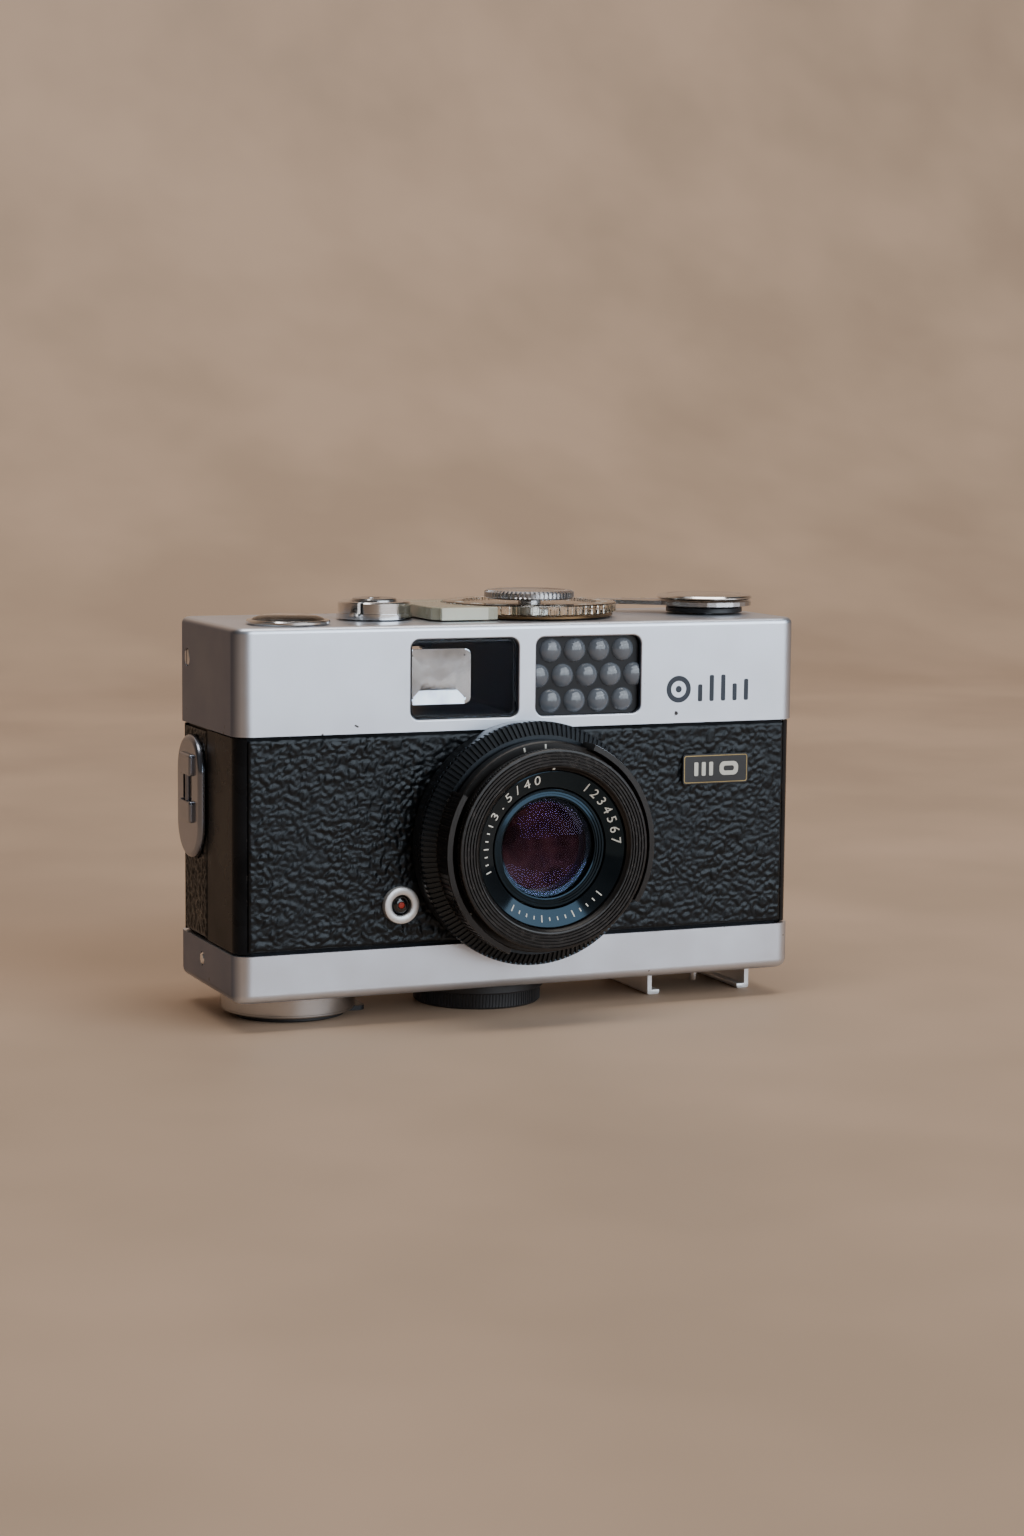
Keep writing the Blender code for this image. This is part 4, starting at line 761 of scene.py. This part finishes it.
def makeApertureRing():
    a = apertureLook
    parts = [turned([(15.4, 6.7), (16.6, 6.7), (16.8, 6.9), (16.8, 8.7), (16.6, 8.9), (15.4, 8.9)],
        144)]
    for start, end in a["grips"]:
        grip = turned([(a["inner"], 6.75), (a["outer"] - 0.1, 6.75), (a["outer"], 6.9),
            (a["outer"], 11.1), (a["outer"] - 0.12, 11.38), (a["inner"] + 0.1, 11.42),
            (a["inner"], 11.3)], 240)
        keepArc(grip, start, end)
        knurl(grip, 120, 0.12, 0.04, lambda r, h, n: r > a["outer"] - 0.15 and 7.2 < h < 11
            and n.xy.length > 0.9)
        parts.append(grip)
    link = turned([(16.0, 6.75), (16.9, 6.75), (16.9, 8.6), (16.0, 8.6)], 240)
    other = link.copy()
    other.data = link.data.copy()
    bpy.context.scene.collection.objects.link(other)
    parts += [keepArc(link, *a["grips"][0]), keepArc(other, *a["grips"][1])]
    lensRing(joinAll(parts), "aperture_grip_ring", "aperture", "lensBlack",
        "aperture_ring")


def makeFocusRing():
    f = focusLook
    profile = [(12.6, 9.2), (15.49, 9.2), (15.49, 11.14), (15.86, 11.2), (15.94, 11.28),
        (15.94, 12.28), (15.82, 12.4)]
    for radius in f["grooves"]:
        half = f["width"] / 2
        profile += [(radius + half, 12.44), (radius + half * 0.35, 12.44 - f["deep"]),
            (radius - half * 0.35, 12.44 - f["deep"]), (radius - half, 12.44)]
    profile += [(13.2, 12.44), (13.02, 12.34), (12.95, 12.2), (12.6, 11.9), (12.55, 11.56)]
    ring = turned(profile, f["teeth"] * 2)
    knurl(ring, f["teeth"], 0.16, 0.045, lambda r, h, n: r > 15.8 and 11.3 < h < 12.27
        and n.xy.length > 0.95)
    lensRing(ring, "focus_head", "focus", "lensBlack", "focus_ring")


def makeNameRing():
    n = nameLook
    ring = turned([(12.4, 9.4), (12.4, 11.5), (12.3, 11.54), (9.75, 10.36), (9.68, 10.3),
        (9.68, 9.4)], 160)
    lensRing(ring, "gloss_name_ring", "focus", "nameGloss", "name_ring")
    onFace = (n["radius"], n["height"], n["slope"])
    marks = placeRound("3.5/40", 150, 9.4, *onFace, n["size"])
    marks += placeRound("1234567", 58, 8.9, *onFace, n["size"] * 0.93)
    for count, start, step, every, long, short in ((7, 197, 6.4, 3, 1.1, 0.7),
            (13, -42, 7, 4, 1.15, 0.6)):
        for i in range(count):
            bar = smallBar((0.2, short if i % every else long, 0.04))
            marks.append(placeOnCone(bar, start - i * step, *onFace))
    lensRing(joinAll(marks), "name_ring_numbers", "focus", "whiteFill")
    dot = placeOnCone(smallBar((0.42, 0.34, 0.05)), 91, 12.76, 12.06, 40)
    lensRing(dot, "focus_dot", "focus", "whiteFill")


def makeFrontCell():
    profile = [(7.0, 5.8), (9.2, 5.8), (9.4, 6.0), (9.4, 10.18), (9.3, 10.24)]
    step = (9.25 - 8.1) / cellLook["ridges"]
    for i in range(cellLook["ridges"]):
        r = 9.25 - i * step
        h = 10.2 - 0.36 * (9.25 - r)
        profile += [(r - step * 0.55, h + cellLook["rise"] * 0.3),
            (r - step * 0.75, h - cellLook["rise"])]
    profile += [(8.02, 9.74), (7.98, 7.84), (7.0, 7.84)]
    lensRing(turned(profile, 144), "front_cell_ridges", "cell", "nameGloss",
        "front_cell")
    glass = [(0, 8.2), (3.2, 8.14), (7.6, 8.06), (7.9, 8.2), (7.9, 8.7)]
    sphere = cellLook["sphere"]
    rimDrop = math.sqrt(sphere ** 2 - 7.9 ** 2)
    for i in range(10):
        r = 7.82 * math.cos(math.pi / 2 * i / 10)
        glass.append((r, 8.79 + math.sqrt(sphere ** 2 - r ** 2) - rimDrop))
    glass.append((0, 8.79 + sphere - rimDrop))
    lensRing(turned(glass, 96), "coated_front_glass", "cell", "coatedGlass",
        "front_element", 40)


def makeRingMarks():
    marks = [placeOnCone(smallBar((0.28, 0.7, 0.04)), a, 15.98, 8.93, 0) for a in (91, 104)]
    marks += [placeOnCone(smallBar((0.3, 0.3, 0.04)), a, 16.1, 8.93, 0) for a in (177, -142)]
    lensRing(joinAll(marks), "ring_marks", "aperture", "whiteFill")


makeFlange()
makeTube()
makeSpeedRing()
makeApertureRing()
makeFocusRing()
makeNameRing()
makeFrontCell()
makeRingMarks()
print("lens made")


# front: sync contact, badge, emblem, windows
badgeAt = middleOf("badge_plate")
domeLook = {"radius": 1.98, "high": 1.12, "pitch": (4.23, 4.06), "rows": (4, 5, 4)}


def facing(piece, x, z, name, body, finish, node=None, angle=30):
    standAt(piece, x, 0, z, turnX=90)
    hand(piece, name, body, finish, node, angle)


def makeSync():
    x, _, z = syncAt
    ring = turned([(1.65, -0.4), (2.95, -0.5), (2.95, 0.5), (2.86, 0.68), (2.7, 0.75), (1.95, 0.75),
        (1.75, 0.66), (1.65, 0.5)], 80)
    facing(ring, x, z, "sync_collar", "camera_body", "collarSilver", "sync_ring")
    dome = turned([(0, -3), (1.45, -3), (1.45, -0.1), (1.38, 0.14), (1.18, 0.33), (0.85, 0.45),
        (0.6, 0.47), (0.52, 0.36), (0, 0.34)], 64)
    facing(dome, x, z, "sync_socket", "camera_body", "glossBlack", "sync_insulator")
    pin = turned([(0, 0.3), (0.5, 0.3), (0.5, 0.4), (0.42, 0.46), (0, 0.5)], 40)
    facing(pin, x + 0.02, z, "sync_pin", "camera_body", "needleRed")


def makeBadge():
    x, y, z = badgeAt
    plate = block((x - 5.95, -0.42, z - 2.45), (x + 5.95, -0.13, z + 2.45), 0.5, axis=1)
    softenEdges(plate, 0.06)
    hand(plate, "badge_plaque", "camera_body", "blackPlastic", "badge_plate")
    border = block((x - 5.75, -0.45, z - 2.25), (x + 5.75, -0.38, z + 2.25), 0.4, axis=1)
    carve(border, block((x - 5.62, -1, z - 2.12), (x + 5.62, 0, z + 2.12), 0.3, axis=1))
    hand(border, "badge_border", "camera_body", "goldLine")
    bars = [block((x - 3.9 + i * 1.35, -0.48, z - 1.1), (x - 3.2 + i * 1.35, -0.4, z + 1.15), 0.2,
        axis=1) for i in range(3)]
    bars.append(block((x + 0.7, -0.48, z - 1.1), (x + 4.1, -0.4, z + 1.15), 0.9, axis=1))
    carve(bars[-1], block((x + 1.45, -1, z - 0.4), (x + 3.35, 0, z + 0.45), 0.35, axis=1))
    hand(joinAll(bars), "badge_motif", "camera_body", "whiteFill")


emblemLook = {"x": 32.35, "z": 47.3, "bars": (2.8, 4.3, 4.3, 2.8, 3.5), "barWidth": 0.8}


def makeEmblem():
    x, z = emblemLook["x"], emblemLook["z"]
    ring = turned([(1.35, -0.05), (2.2, -0.05), (2.2, 0.015), (1.35, 0.015)], 72)
    parts = [standAt(ring, x - 5.5, 0, z, turnX=90)]
    hub = rod(0.55, -0.05, 0.015, 40)
    parts.append(standAt(hub, x - 5.5, 0, z, turnX=90))
    half = emblemLook["barWidth"] / 2
    for i, tall in enumerate(emblemLook["bars"]):
        at = x - 1.6 + i * 2.1
        parts.append(block((at - half, -0.015, z - 2.1), (at + half, 0.05, z - 2.1 + tall), 0.26,
            axis=1))
    hand(joinAll(parts), "front_emblem", "camera_body", "inkBlue")


def makeWindows():
    pane = windowBlock(finder[0], windowSize, 0.45, 1.2, -0.1)
    softenEdges(pane, 0.1)
    hand(pane, "finder_pane", "camera_body", "finderGlass", "viewfinder_window")
    outer = windowBlock(finder[0], windowSize, 1.4, 27.7, -0.15)
    middle = spot(finder[0], 0, windowZ)
    narrow = [1 - (e + 0.6) / (w - 0.3) for e, w in zip(eyepieceSize, windowSize)]
    for v in outer.data.vertices:
        back = max(0.0, (v.co.y - bodyY) / mm - 1.4) / 26.3
        v.co.x += (middle.x - v.co.x) * narrow[0] * back
        v.co.z += (middle.z - v.co.z) * narrow[1] * back
    step = outer.modifiers.new("hollow", "SOLIDIFY")
    editFaces(outer, lambda f: abs(f.normal.y) > 0.9)
    bpy.ops.mesh.delete(type="FACE")
    closeEdit()
    step.thickness = 0.4 * mm
    step.offset = -1
    applyStep(outer, step)
    hand(outer, "finder_tunnel", "camera_body", "tunnelBlack", "viewfinder_tunnel")
    left = finder[0] - windowSize[0] / 2 + 0.75
    lens = block((left, 4.2, windowZ - 4.3), (left + 10.9, 4.9, windowZ + 4.5), 1.1, axis=1)
    editFaces(lens, lambda f: f.normal.y < -0.9)
    bpy.ops.mesh.inset(thickness=0.9 * mm, depth=-0.12 * mm)
    bpy.ops.mesh.inset(thickness=1.6 * mm, depth=-0.12 * mm)
    closeEdit()
    softenEdges(lens, 0.08)
    hand(lens, "finder_front_lens", "camera_body", "finderMirror", angle=40)
    eye = windowBlock(finder[0], eyepieceSize, 28.3, 30.95, 1.3)
    carve(eye, windowBlock(finder[0], eyepieceSize, 27, 32, -1.0))
    softenEdges(eye, 0.3, 3)
    hand(eye, "eyepiece_surround", "camera_body", "blackPlastic", "eyepiece_frame")


def makeMeterWindow():
    x, _, z = meter
    halfX = meterSize[0] / 2 - 0.1
    plate = windowBlock(x, meterSize, 1.1, 1.75, -0.1)
    hand(plate, "meter_plate", "camera_body", "tunnelBlack")
    parts = []
    pitchX, pitchZ = domeLook["pitch"]
    radius, high = domeLook["radius"], domeLook["high"]
    curve = [math.radians(angle) for angle in range(0, 90, 10)]
    arc = [(0, -0.1)] + [(radius * math.cos(a), high * math.sin(a)) for a in curve] + [(0, high)]
    for row, count in enumerate(domeLook["rows"]):
        for i in range(count):
            dx = (i - (count - 1) / 2) * pitchX
            dz = (1 - row) * pitchZ
            dome = standAt(turned(arc, 40), x + dx, 1.35, z + dz, turnX=90)
            if abs(dx) + radius > halfX:
                edge = spot(x + math.copysign(halfX, dx), 0, 0)
                trim(dome, edge, (math.copysign(1, dx), 0, 0))
            parts.append(dome)
    hand(joinAll(parts), "meter_bubbles", "camera_body", "bubblePlastic",
        "meter_window", 45)


makeSync()
makeBadge()
makeEmblem()
makeWindows()
makeMeterWindow()
print("front details made")


# top: release, counter, dial, lever
dialLook = {"ribs": 60, "knobTeeth": 60}


def upright(piece, x, y, name, body, finish, node=None, angle=30):
    standAt(piece, x, y, 0)
    hand(piece, name, body, finish, node, angle)


def makeRelease():
    x, y, _ = release
    collar = turned([(3.9, 58.85), (6.1, 58.85), (6.1, 59.7), (5.85, 59.75), (5.85, 61.35),
        (5.7, 61.55), (5.5, 61.6), (4.25, 61.6), (4.0, 61.5), (3.9, 61.3)], 96)
    carve(collar, slitBox((-7.1, -4.6, 59.5), (-1.0, -4.0, 64.0)))
    upright(collar, x, y, "release_surround", "camera_body", "polishedSteel",
        "release_collar")
    bottom, top = heights("release_button")
    button = turned([(0, bottom), (1.0, bottom), (1.0, 59.4), (3.6, 59.4), (3.6, top - 0.3),
        (3.45, top - 0.08), (3.1, top), (1.2, top - 0.08), (1.0, top - 0.5), (0, top - 0.6)], 80)
    upright(button, x, y, "release_plunger", "release", "knobSteel",
        "release_button")


def makeCounter():
    x, y, _ = counter
    rim = turned([(5.4, 58.85), (6.6, 58.85), (6.6, 59.15), (6.45, 59.35), (6.1, 59.4),
        (5.5, 59.3)], 80)
    upright(rim, x, y, "counter_rim", "camera_body", "polishedSteel")
    dome = [(0, 58.9), (5.5, 58.9), (5.85, 59.2), (5.5, 59.6), (4.6, 59.93), (3.2, 60.15),
        (1.6, 60.22), (0, 60.25)]
    face = heights("counter_disc")[1] + 0.03
    figures = [placeOnCone(stampText(str(i * 6), 1.5, 0.03), 90 - i * 51.4, 3.9, face, 0)
        for i in range(7)]
    figures += [placeOnCone(smallBar((0.14, 0.5, 0.03)), 90 - i * 8.57, 5.1, face, 0)
        for i in range(42)]
    upright(joinAll(figures), x, y, "counter_figures", "counter", "inkBlue")
    upright(turned(dome, 64), x, y, "counter_dome", "camera_body", "clearGlass",
        "counter_window", 40)


def makeMeterTop():
    x, y, _ = dialAt
    housing = block((-13.8, 5, 58.85), (-3, 27, 60.9))
    for px, py, nx, ny in ((-11.4, 27, -5, 2.4), (-12, 5, -4, -1.8)):
        trim(housing, spot(px, py, 60), (nx, ny, 0))
    carve(housing, standAt(rod(14.62, 57, 63, 144), x, y, 0))
    softenEdges(housing, 0.25, 3)
    hand(housing, "cream_housing", "camera_body", "cream", "meter_housing")
    bar = block((-12.7, 4.9, 58.85), (-4.7, 7.1, 60.8), 0.12)
    softenEdges(bar, 0.15, 2)
    hand(bar, "ivory_light_bar", "camera_body", "ivory", "meter_light_bar")
    clear = turned([(2.2, 59.45), (13.9, 59.45), (14.3, 59.6), (14.3, 60.9), (14.1, 61.08),
        (11.2, 61.1), (11.0, 60.85), (2.2, 60.85)], dialLook["ribs"] * 2)
    knurl(clear, dialLook["ribs"], 0.35, 0.08, lambda r, h, n: r > 14.2 and 59.7 < h < 60.85
        and n.xy.length > 0.95)
    upright(clear, x, y, "ribbed_dial", "dial", "clearPlastic", "calculator_dial")
    printed = turned([(2.2, 58.92), (13.7, 58.92), (13.7, 59.25), (2.2, 59.25)], 96)
    upright(printed, x, y, "dial_print", "dial", "dialPrint")
    numbers = "2 4 8 16 30 60 125 250 25 50 100 200 400 1 3 6".split()
    figures = [placeOnCone(stampText(words, 1.5, 0.04), 90 - i * 22.5, 12.2, 61.08, 0)
        for i, words in enumerate(numbers)]
    upright(joinAll(figures), x, y, "dial_numbers", "dial", "whiteFill")
    knob = turned([(0, 60.9), (1.9, 60.9), (1.9, 61.5), (6.9, 61.5), (7.4, 61.75), (7.4, 62.6),
        (6.9, 62.9), (6.3, 62.9), (5.9, 62.75), (0, 62.75)], dialLook["knobTeeth"] * 2)
    knurl(knob, dialLook["knobTeeth"], 0.28, 0.05, lambda r, h, n: r > 6.85 and 61.6 < h < 62.85
        and n.xy.length > 0.3)
    shaft = rod(1.9, heights("calculator_knob")[0], 61.0)
    upright(joinAll([knob, shaft]), x, y, "knurled_knob", "knob", "turnedSteel",
        "calculator_knob", 25)


def makeLever():
    x, y, _ = leverAt
    base = turned([(2.4, 58.9), (6.4, 58.9), (6.4, 59.55), (6.25, 59.7), (2.4, 59.7)], 96)
    upright(base, x, y, "lever_seat", "camera_body", "blackPlastic", "lever_base")
    cap = turned([(0, 61.0), (7.7, 61.0), (8.0, 61.2), (8.0, 61.4), (7.75, 61.66), (6.7, 61.86),
        (6.4, 61.84), (6.2, 61.72), (5.9, 61.76), (4.2, 61.98), (2.0, 62.08), (0, 62.1)], 128)
    upright(cap, x, y, "domed_lever_cap", "lever", "polishedSteel", "lever_cap",
        35)


makeRelease()
makeCounter()
makeMeterTop()
makeLever()
print("top made")

# side and underside
rewindAt = middleOf("rewind_knob")
lockAt = middleOf("tripod_bush")
shoeAt = middleOf("shoe_base")
lugAt = middleOf("strap_lug")
rewindLook = {"outer": 10.9, "recess": 9.8}
crankLook = {"disc": 9.4, "tip": 12.3, "half": 3.2, "hinge": 9.0}
lockLook = {"outer": 11.1, "lower": 10.5, "teeth": 120}
railLook = {"half": 9.45, "thick": 0.8, "foot": 7.25}
lugLook = {"plate": (12.1, 19.8), "ears": (5.2, -2.3), "ear": (1.75, 3.0), "recess": (-0.7, 3.6)}


def outsideX(node):
    low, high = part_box(node)
    left = (low.x - bodyX) / mm
    right = (high.x - bodyX) / mm
    return left if abs(left) > abs(right) else right


def makeLug():
    look = lugLook
    low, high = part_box("strap_lug")
    y, z = lugAt[1], (low.z + high.z) / 2 / mm - bodyZ / mm
    out = outsideX("strap_lug")
    halfY, halfZ = look["plate"][0] / 2, look["plate"][1] / 2
    plate = block((-49.55, y - halfY, z - halfZ), (-48.5, y + halfY, z + halfZ), halfY - 0.2,
        axis=0, segments=20)
    roundWhere(plate, lambda e: all(v.co.x < spot(-49.54, 0, 0).x for v in e.verts), 0.75, 5)
    for offset in look["ears"]:
        tall, deep = look["ear"]
        ear = block((out, y - deep, z + offset - tall), (-49.3, y + deep, z + offset + tall), 0.5,
            axis=0)
        roundWhere(ear, lambda e: all(v.co.x < spot(out + 0.01, 0, 0).x for v in e.verts), 0.38, 4)
        carve(plate, ear, "UNION")
    low, high = look["recess"]
    carve(plate, block((-52, y - 2.3, z + low), (-48.95, y + 2.3, z + high), 0.4, axis=0))
    hand(plate, "polished_lug", "camera_body", "lugSteel", "strap_lug")
    bar = turned([(0, low - 0.3), (0.45, low - 0.3), (0.45, high + 0.3), (0, high + 0.3)], 32)
    standAt(bar, -49.45, y, z)
    hand(bar, "lug_bar", "camera_body", "lugSteel")


def makeScrews():
    for side in ("left", "right"):
        node, name = "cover_screw_" + side, "slotted_screw_" + side
        _, y, z = middleOf(node)
        out = outsideX(node)
        tall = abs(out)
        head = turned([(0, tall - 1.6), (1.3, tall - 1.6), (1.3, tall - 0.28), (1.15, tall - 0.1),
            (0.7, tall - 0.02), (0, tall)], 48)
        carve(head, slitBox((-0.22, -2, tall - 0.32), (0.22, 2, tall + 1)))
        standAt(head, 0, y, z, turnX=90, turnZ=math.copysign(90, out))
        hand(head, name, "camera_body", "turnedSteel", node)
    _, y, z = middleOf("bottom_pin")
    tall = abs(outsideX("bottom_pin"))
    pin = turned([(0, tall - 1.6), (1.0, tall - 1.6), (1.0, tall - 0.35), (0.8, tall - 0.1),
        (0.4, tall - 0.01), (0, tall)], 40)
    standAt(pin, 0, y, z, turnX=90, turnZ=-90)
    hand(pin, "domed_pin", "back", "polishedSteel", "bottom_pin")


def makeRewind():
    x, y, _ = rewindAt
    r, inner = rewindLook["outer"], rewindLook["recess"]
    knob = turned([(0, -0.35), (r - 0.3, -0.32), (r, -0.6), (r, -3.15), (r - 0.1, -3.25),
        (r - 0.1, -3.45), (r - 0.4, -3.7), (inner + 0.15, -3.7), (inner, -3.55), (inner, -2.65),
        (0, -2.6)], 160)
    shaft = rod(1.8, -1.0, heights("rewind_knob")[1])
    upright(joinAll([knob, shaft]), x, y, "steel_rewind_knob", "rewind",
        "knobSteel", "rewind_knob")
    c = crankLook
    disc = turned([(0, -3.05), (c["disc"] - 0.2, -3.05), (c["disc"], -3.25), (c["disc"], -4.3),
        (c["disc"] - 0.2, -4.5), (6.6, -4.5), (6.4, -4.3), (0, -4.3)], 96)
    trim(disc, ((0.2 - c["hinge"]) * mm, 0, 0), (-1, 0, 0))
    tab = slitBox((8.0, -c["half"], -4.5), (c["tip"], c["half"], -3.76))
    roundWhere(tab, lambda e: runsAlong(e, 2) and e.verts[0].co.x > 9 * mm, 1.2, 6)
    carve(disc, tab, "UNION")
    upright(disc, x, y, "folding_crank", "crank", "blackPlastic", "rewind_crank")


def makeLock():
    x, y, _ = lockAt
    k = lockLook
    ring = turned([(4.2, -0.3), (k["outer"] - 0.15, -0.3), (k["outer"], -0.45), (k["outer"], -1.75),
        (k["outer"] - 0.15, -1.9), (k["lower"] + 0.05, -1.95), (k["lower"], -2.1),
        (k["lower"], -4.2), (10.2, -4.5), (5.0, -4.5), (4.2, -4.2)], k["teeth"] * 2)
    knurl(ring, k["teeth"], 0.12, 0.05, lambda r, h, n: r > 10.4 and -4.1 < h < -2.2
        and n.xy.length > 0.95)
    tab = slitBox((9.6, -2.6, -1.8), (13.0, 2.6, -0.5))
    roundWhere(tab, lambda e: runsAlong(e, 2) and e.verts[0].co.x > 12 * mm, 1.0, 6)
    carve(ring, tab, "UNION")
    upright(ring, x, y, "back_lock_ring", "lock", "blackPlastic", "lock_ring")
    start, end = heights("tripod_bush")
    thread = [(3.95, end), (3.3, end)]
    turns = 8
    for i in range(turns):
        top = end - 0.2 - i * (end - start - 0.4) / turns
        thread += [(3.15, top - 0.1), (3.42, top - 0.35)]
    thread += [(3.3, start), (3.95, start)]
    upright(turned(thread, 64), x, y, "threaded_bush", "back", "brass", "tripod_bush")


def makeShoe():
    x, y, _ = shoeAt
    r = railLook
    for side, name in ((-1, "left"), (1, "right")):
        node = "shoe_rail_" + name
        low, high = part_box(node)
        start, end = (low.y - bodyY) / mm, (high.y - bodyY) / mm
        bottom = heights(node)[0]
        a, b, c = (x + side * far for far in (r["half"], r["half"] - r["thick"], r["foot"]))
        rail = block((min(a, b), start, bottom), (max(a, b), end, -0.3))
        carve(rail, block((min(a, c), start, bottom), (max(a, c), end, bottom + 0.8)), "UNION")
        level = spot(0, 0, bottom + 0.01).z
        roundWhere(rail, lambda e: runsAlong(e, 1) and all(v.co.z < level for v in e.verts), 0.38,
            5)
        softenEdges(rail, 0.1, 2, 50)
        hand(rail, "shoe_lip_" + name, "back", "collarSilver", node)
    px, py, _ = middleOf("shoe_pin")
    bottom, top = heights("shoe_pin")
    pin = turned([(0, top), (0.7, top), (0.7, -1.4), (0.62, bottom + 0.35), (0.45, bottom + 0.08),
        (0, bottom)], 40)
    upright(pin, px, py, "shoe_contact", "back", "polishedSteel", "shoe_pin")


makeLug()
makeScrews()
makeRewind()
makeLock()
makeShoe()
print("side and underside made")

# what keeps its CAD shape only gets its finish
keptNodes = {
    "lens_tube": "turnedSteel", "shutter_housing": "lensBlack", "shutter_blade_left": "bladeSteel",
    "shutter_blade_right": "bladeSteel", "advance_lever": "turnedSteel",
    "middle_element": "innerGlassPaintedReflection", "rear_element": "coatedGlass",
    "take_up_spool": "blackPlastic", "sprocket_roller": "blackPlastic", "counter_disc": "whiteDisc",
    "meter_needle": "needleRed", "selenium_cell": "selenium", "release_spring": "turnedSteel",
    "pressure_plate": "turnedSteel", "rewind_fork": "turnedSteel", "back_panel": "blackEnamel",
    "eyepiece_lens": "clearGlass", "tripod_bush": "brass", "shoe_base": "blackPlastic",
}
for node, finish in keptNodes.items():
    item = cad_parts[node]
    item.data.materials.clear()
    item.data.materials.append(finishes[finish])

# stage, light and camera
stageLook = {"floor": (0.47, 0.33, 0.23), "key": 11.5, "low": 9.5, "fill": 0.1, "top": 1.7,
    "wall": 13.5, "world": 0.1, "wallAt": 0.95, "wallHigh": 3.0, "wallCurve": 0.45}


def makeStage():
    wallAt, high = stageLook["wallAt"], stageLook["wallHigh"]
    floorZ = cadLow.z - 0.02 * mm
    bpy.ops.mesh.primitive_plane_add(size=2 * high, location=(0, wallAt - high, floorZ))
    floor = lastAdded()
    settle(floor)
    editEdges(floor, lambda e: all(v.co.y > wallAt - 0.1 for v in e.verts))
    bpy.ops.mesh.extrude_region_move(TRANSFORM_OT_translate={"value": (0, 0, high)})
    closeEdit()
    roundWhere(floor, lambda e: all(abs(v.co.z - floorZ) < 1e-4 and v.co.y > wallAt - 0.1
        for v in e.verts), stageLook["wallCurve"] / mm, 24)
    floor.name = "pale_floor"
    floor.data.materials.append(makeFinish("floorPaper", surface(stageLook["floor"], (0.55, 0.7),
        0.9, 0.1, 0.1, 0.1, broad=0.012)))
    onlySelect(floor)
    bpy.ops.object.shade_smooth_by_angle(angle=math.radians(40))


def softLight(name, place, aim, size, power, colour):
    data = bpy.data.lights.new(name, "AREA")
    data.shape = "RECTANGLE"
    data.size, data.size_y = size
    data.energy = power
    data.color = colour
    lamp = bpy.data.objects.new(name, data)
    bpy.context.scene.collection.objects.link(lamp)
    lamp.location = place
    lamp.rotation_euler = (Vector(aim) - Vector(place)).to_track_quat("-Z", "Y").to_euler()


def makeLights():
    aim = (0, 0, 0.03)
    softLight("window_light", (0.62, -1.0, 0.75), aim, (1.3, 0.7), stageLook["key"],
        (0.84, 0.92, 1.0))
    softLight("low_window", (0.62, -1.25, 0.28), (0, 0, 0.05), (1.6, 0.5), stageLook["low"],
        (0.82, 0.91, 1.0))
    softLight("side_fill", (-1.0, -0.5, 0.5), aim, (0.8, 0.8), stageLook["fill"], (1.0, 0.95, 0.9))
    softLight("overhead", (0.1, 0.2, 1.2), aim, (1.0, 1.0), stageLook["top"], (1.0, 0.97, 0.93))
    softLight("wall_light", (0.0, -0.1, 1.5), (0, stageLook["wallAt"], 0.35), (1.4, 0.6),
        stageLook["wall"], (1.0, 0.95, 0.9))
    world = bpy.data.worlds.new("room")
    bpy.context.scene.world = world
    world.use_nodes = True
    backdrop = world.node_tree.nodes["Background"]
    backdrop.inputs["Color"].default_value = (0.8, 0.76, 0.72, 1)
    backdrop.inputs["Strength"].default_value = stageLook["world"]


cameraLook = {"yaw": 22.996, "pitch": 6.680, "roll": 0.515, "lens": 69.71,
    "place": (-185.488, -442.477, 95.113)}


def makeCamera():
    c = cameraLook
    yaw, pitch, roll = (math.radians(c[k]) for k in ("yaw", "pitch", "roll"))
    forward = Vector((math.sin(yaw) * math.cos(pitch), math.cos(yaw) * math.cos(pitch),
        -math.sin(pitch)))
    right = forward.cross(Vector((0, 0, 1))).normalized()
    up = right.cross(forward)
    rightTurned = math.cos(roll) * right + math.sin(roll) * up
    upTurned = -math.sin(roll) * right + math.cos(roll) * up
    data = bpy.data.cameras.new("front_view")
    data.lens = c["lens"]
    data.sensor_width = 36.0
    data.clip_start = 0.01
    camera = bpy.data.objects.new("front_view", data)
    bpy.context.scene.collection.objects.link(camera)
    turn = Matrix((rightTurned, upTurned, -forward)).transposed()
    camera.matrix_world = Matrix.Translation(Vector(c["place"]) * mm) @ turn.to_4x4()
    bpy.context.scene.camera = camera


makeStage()
makeLights()
makeCamera()
print("stage set")
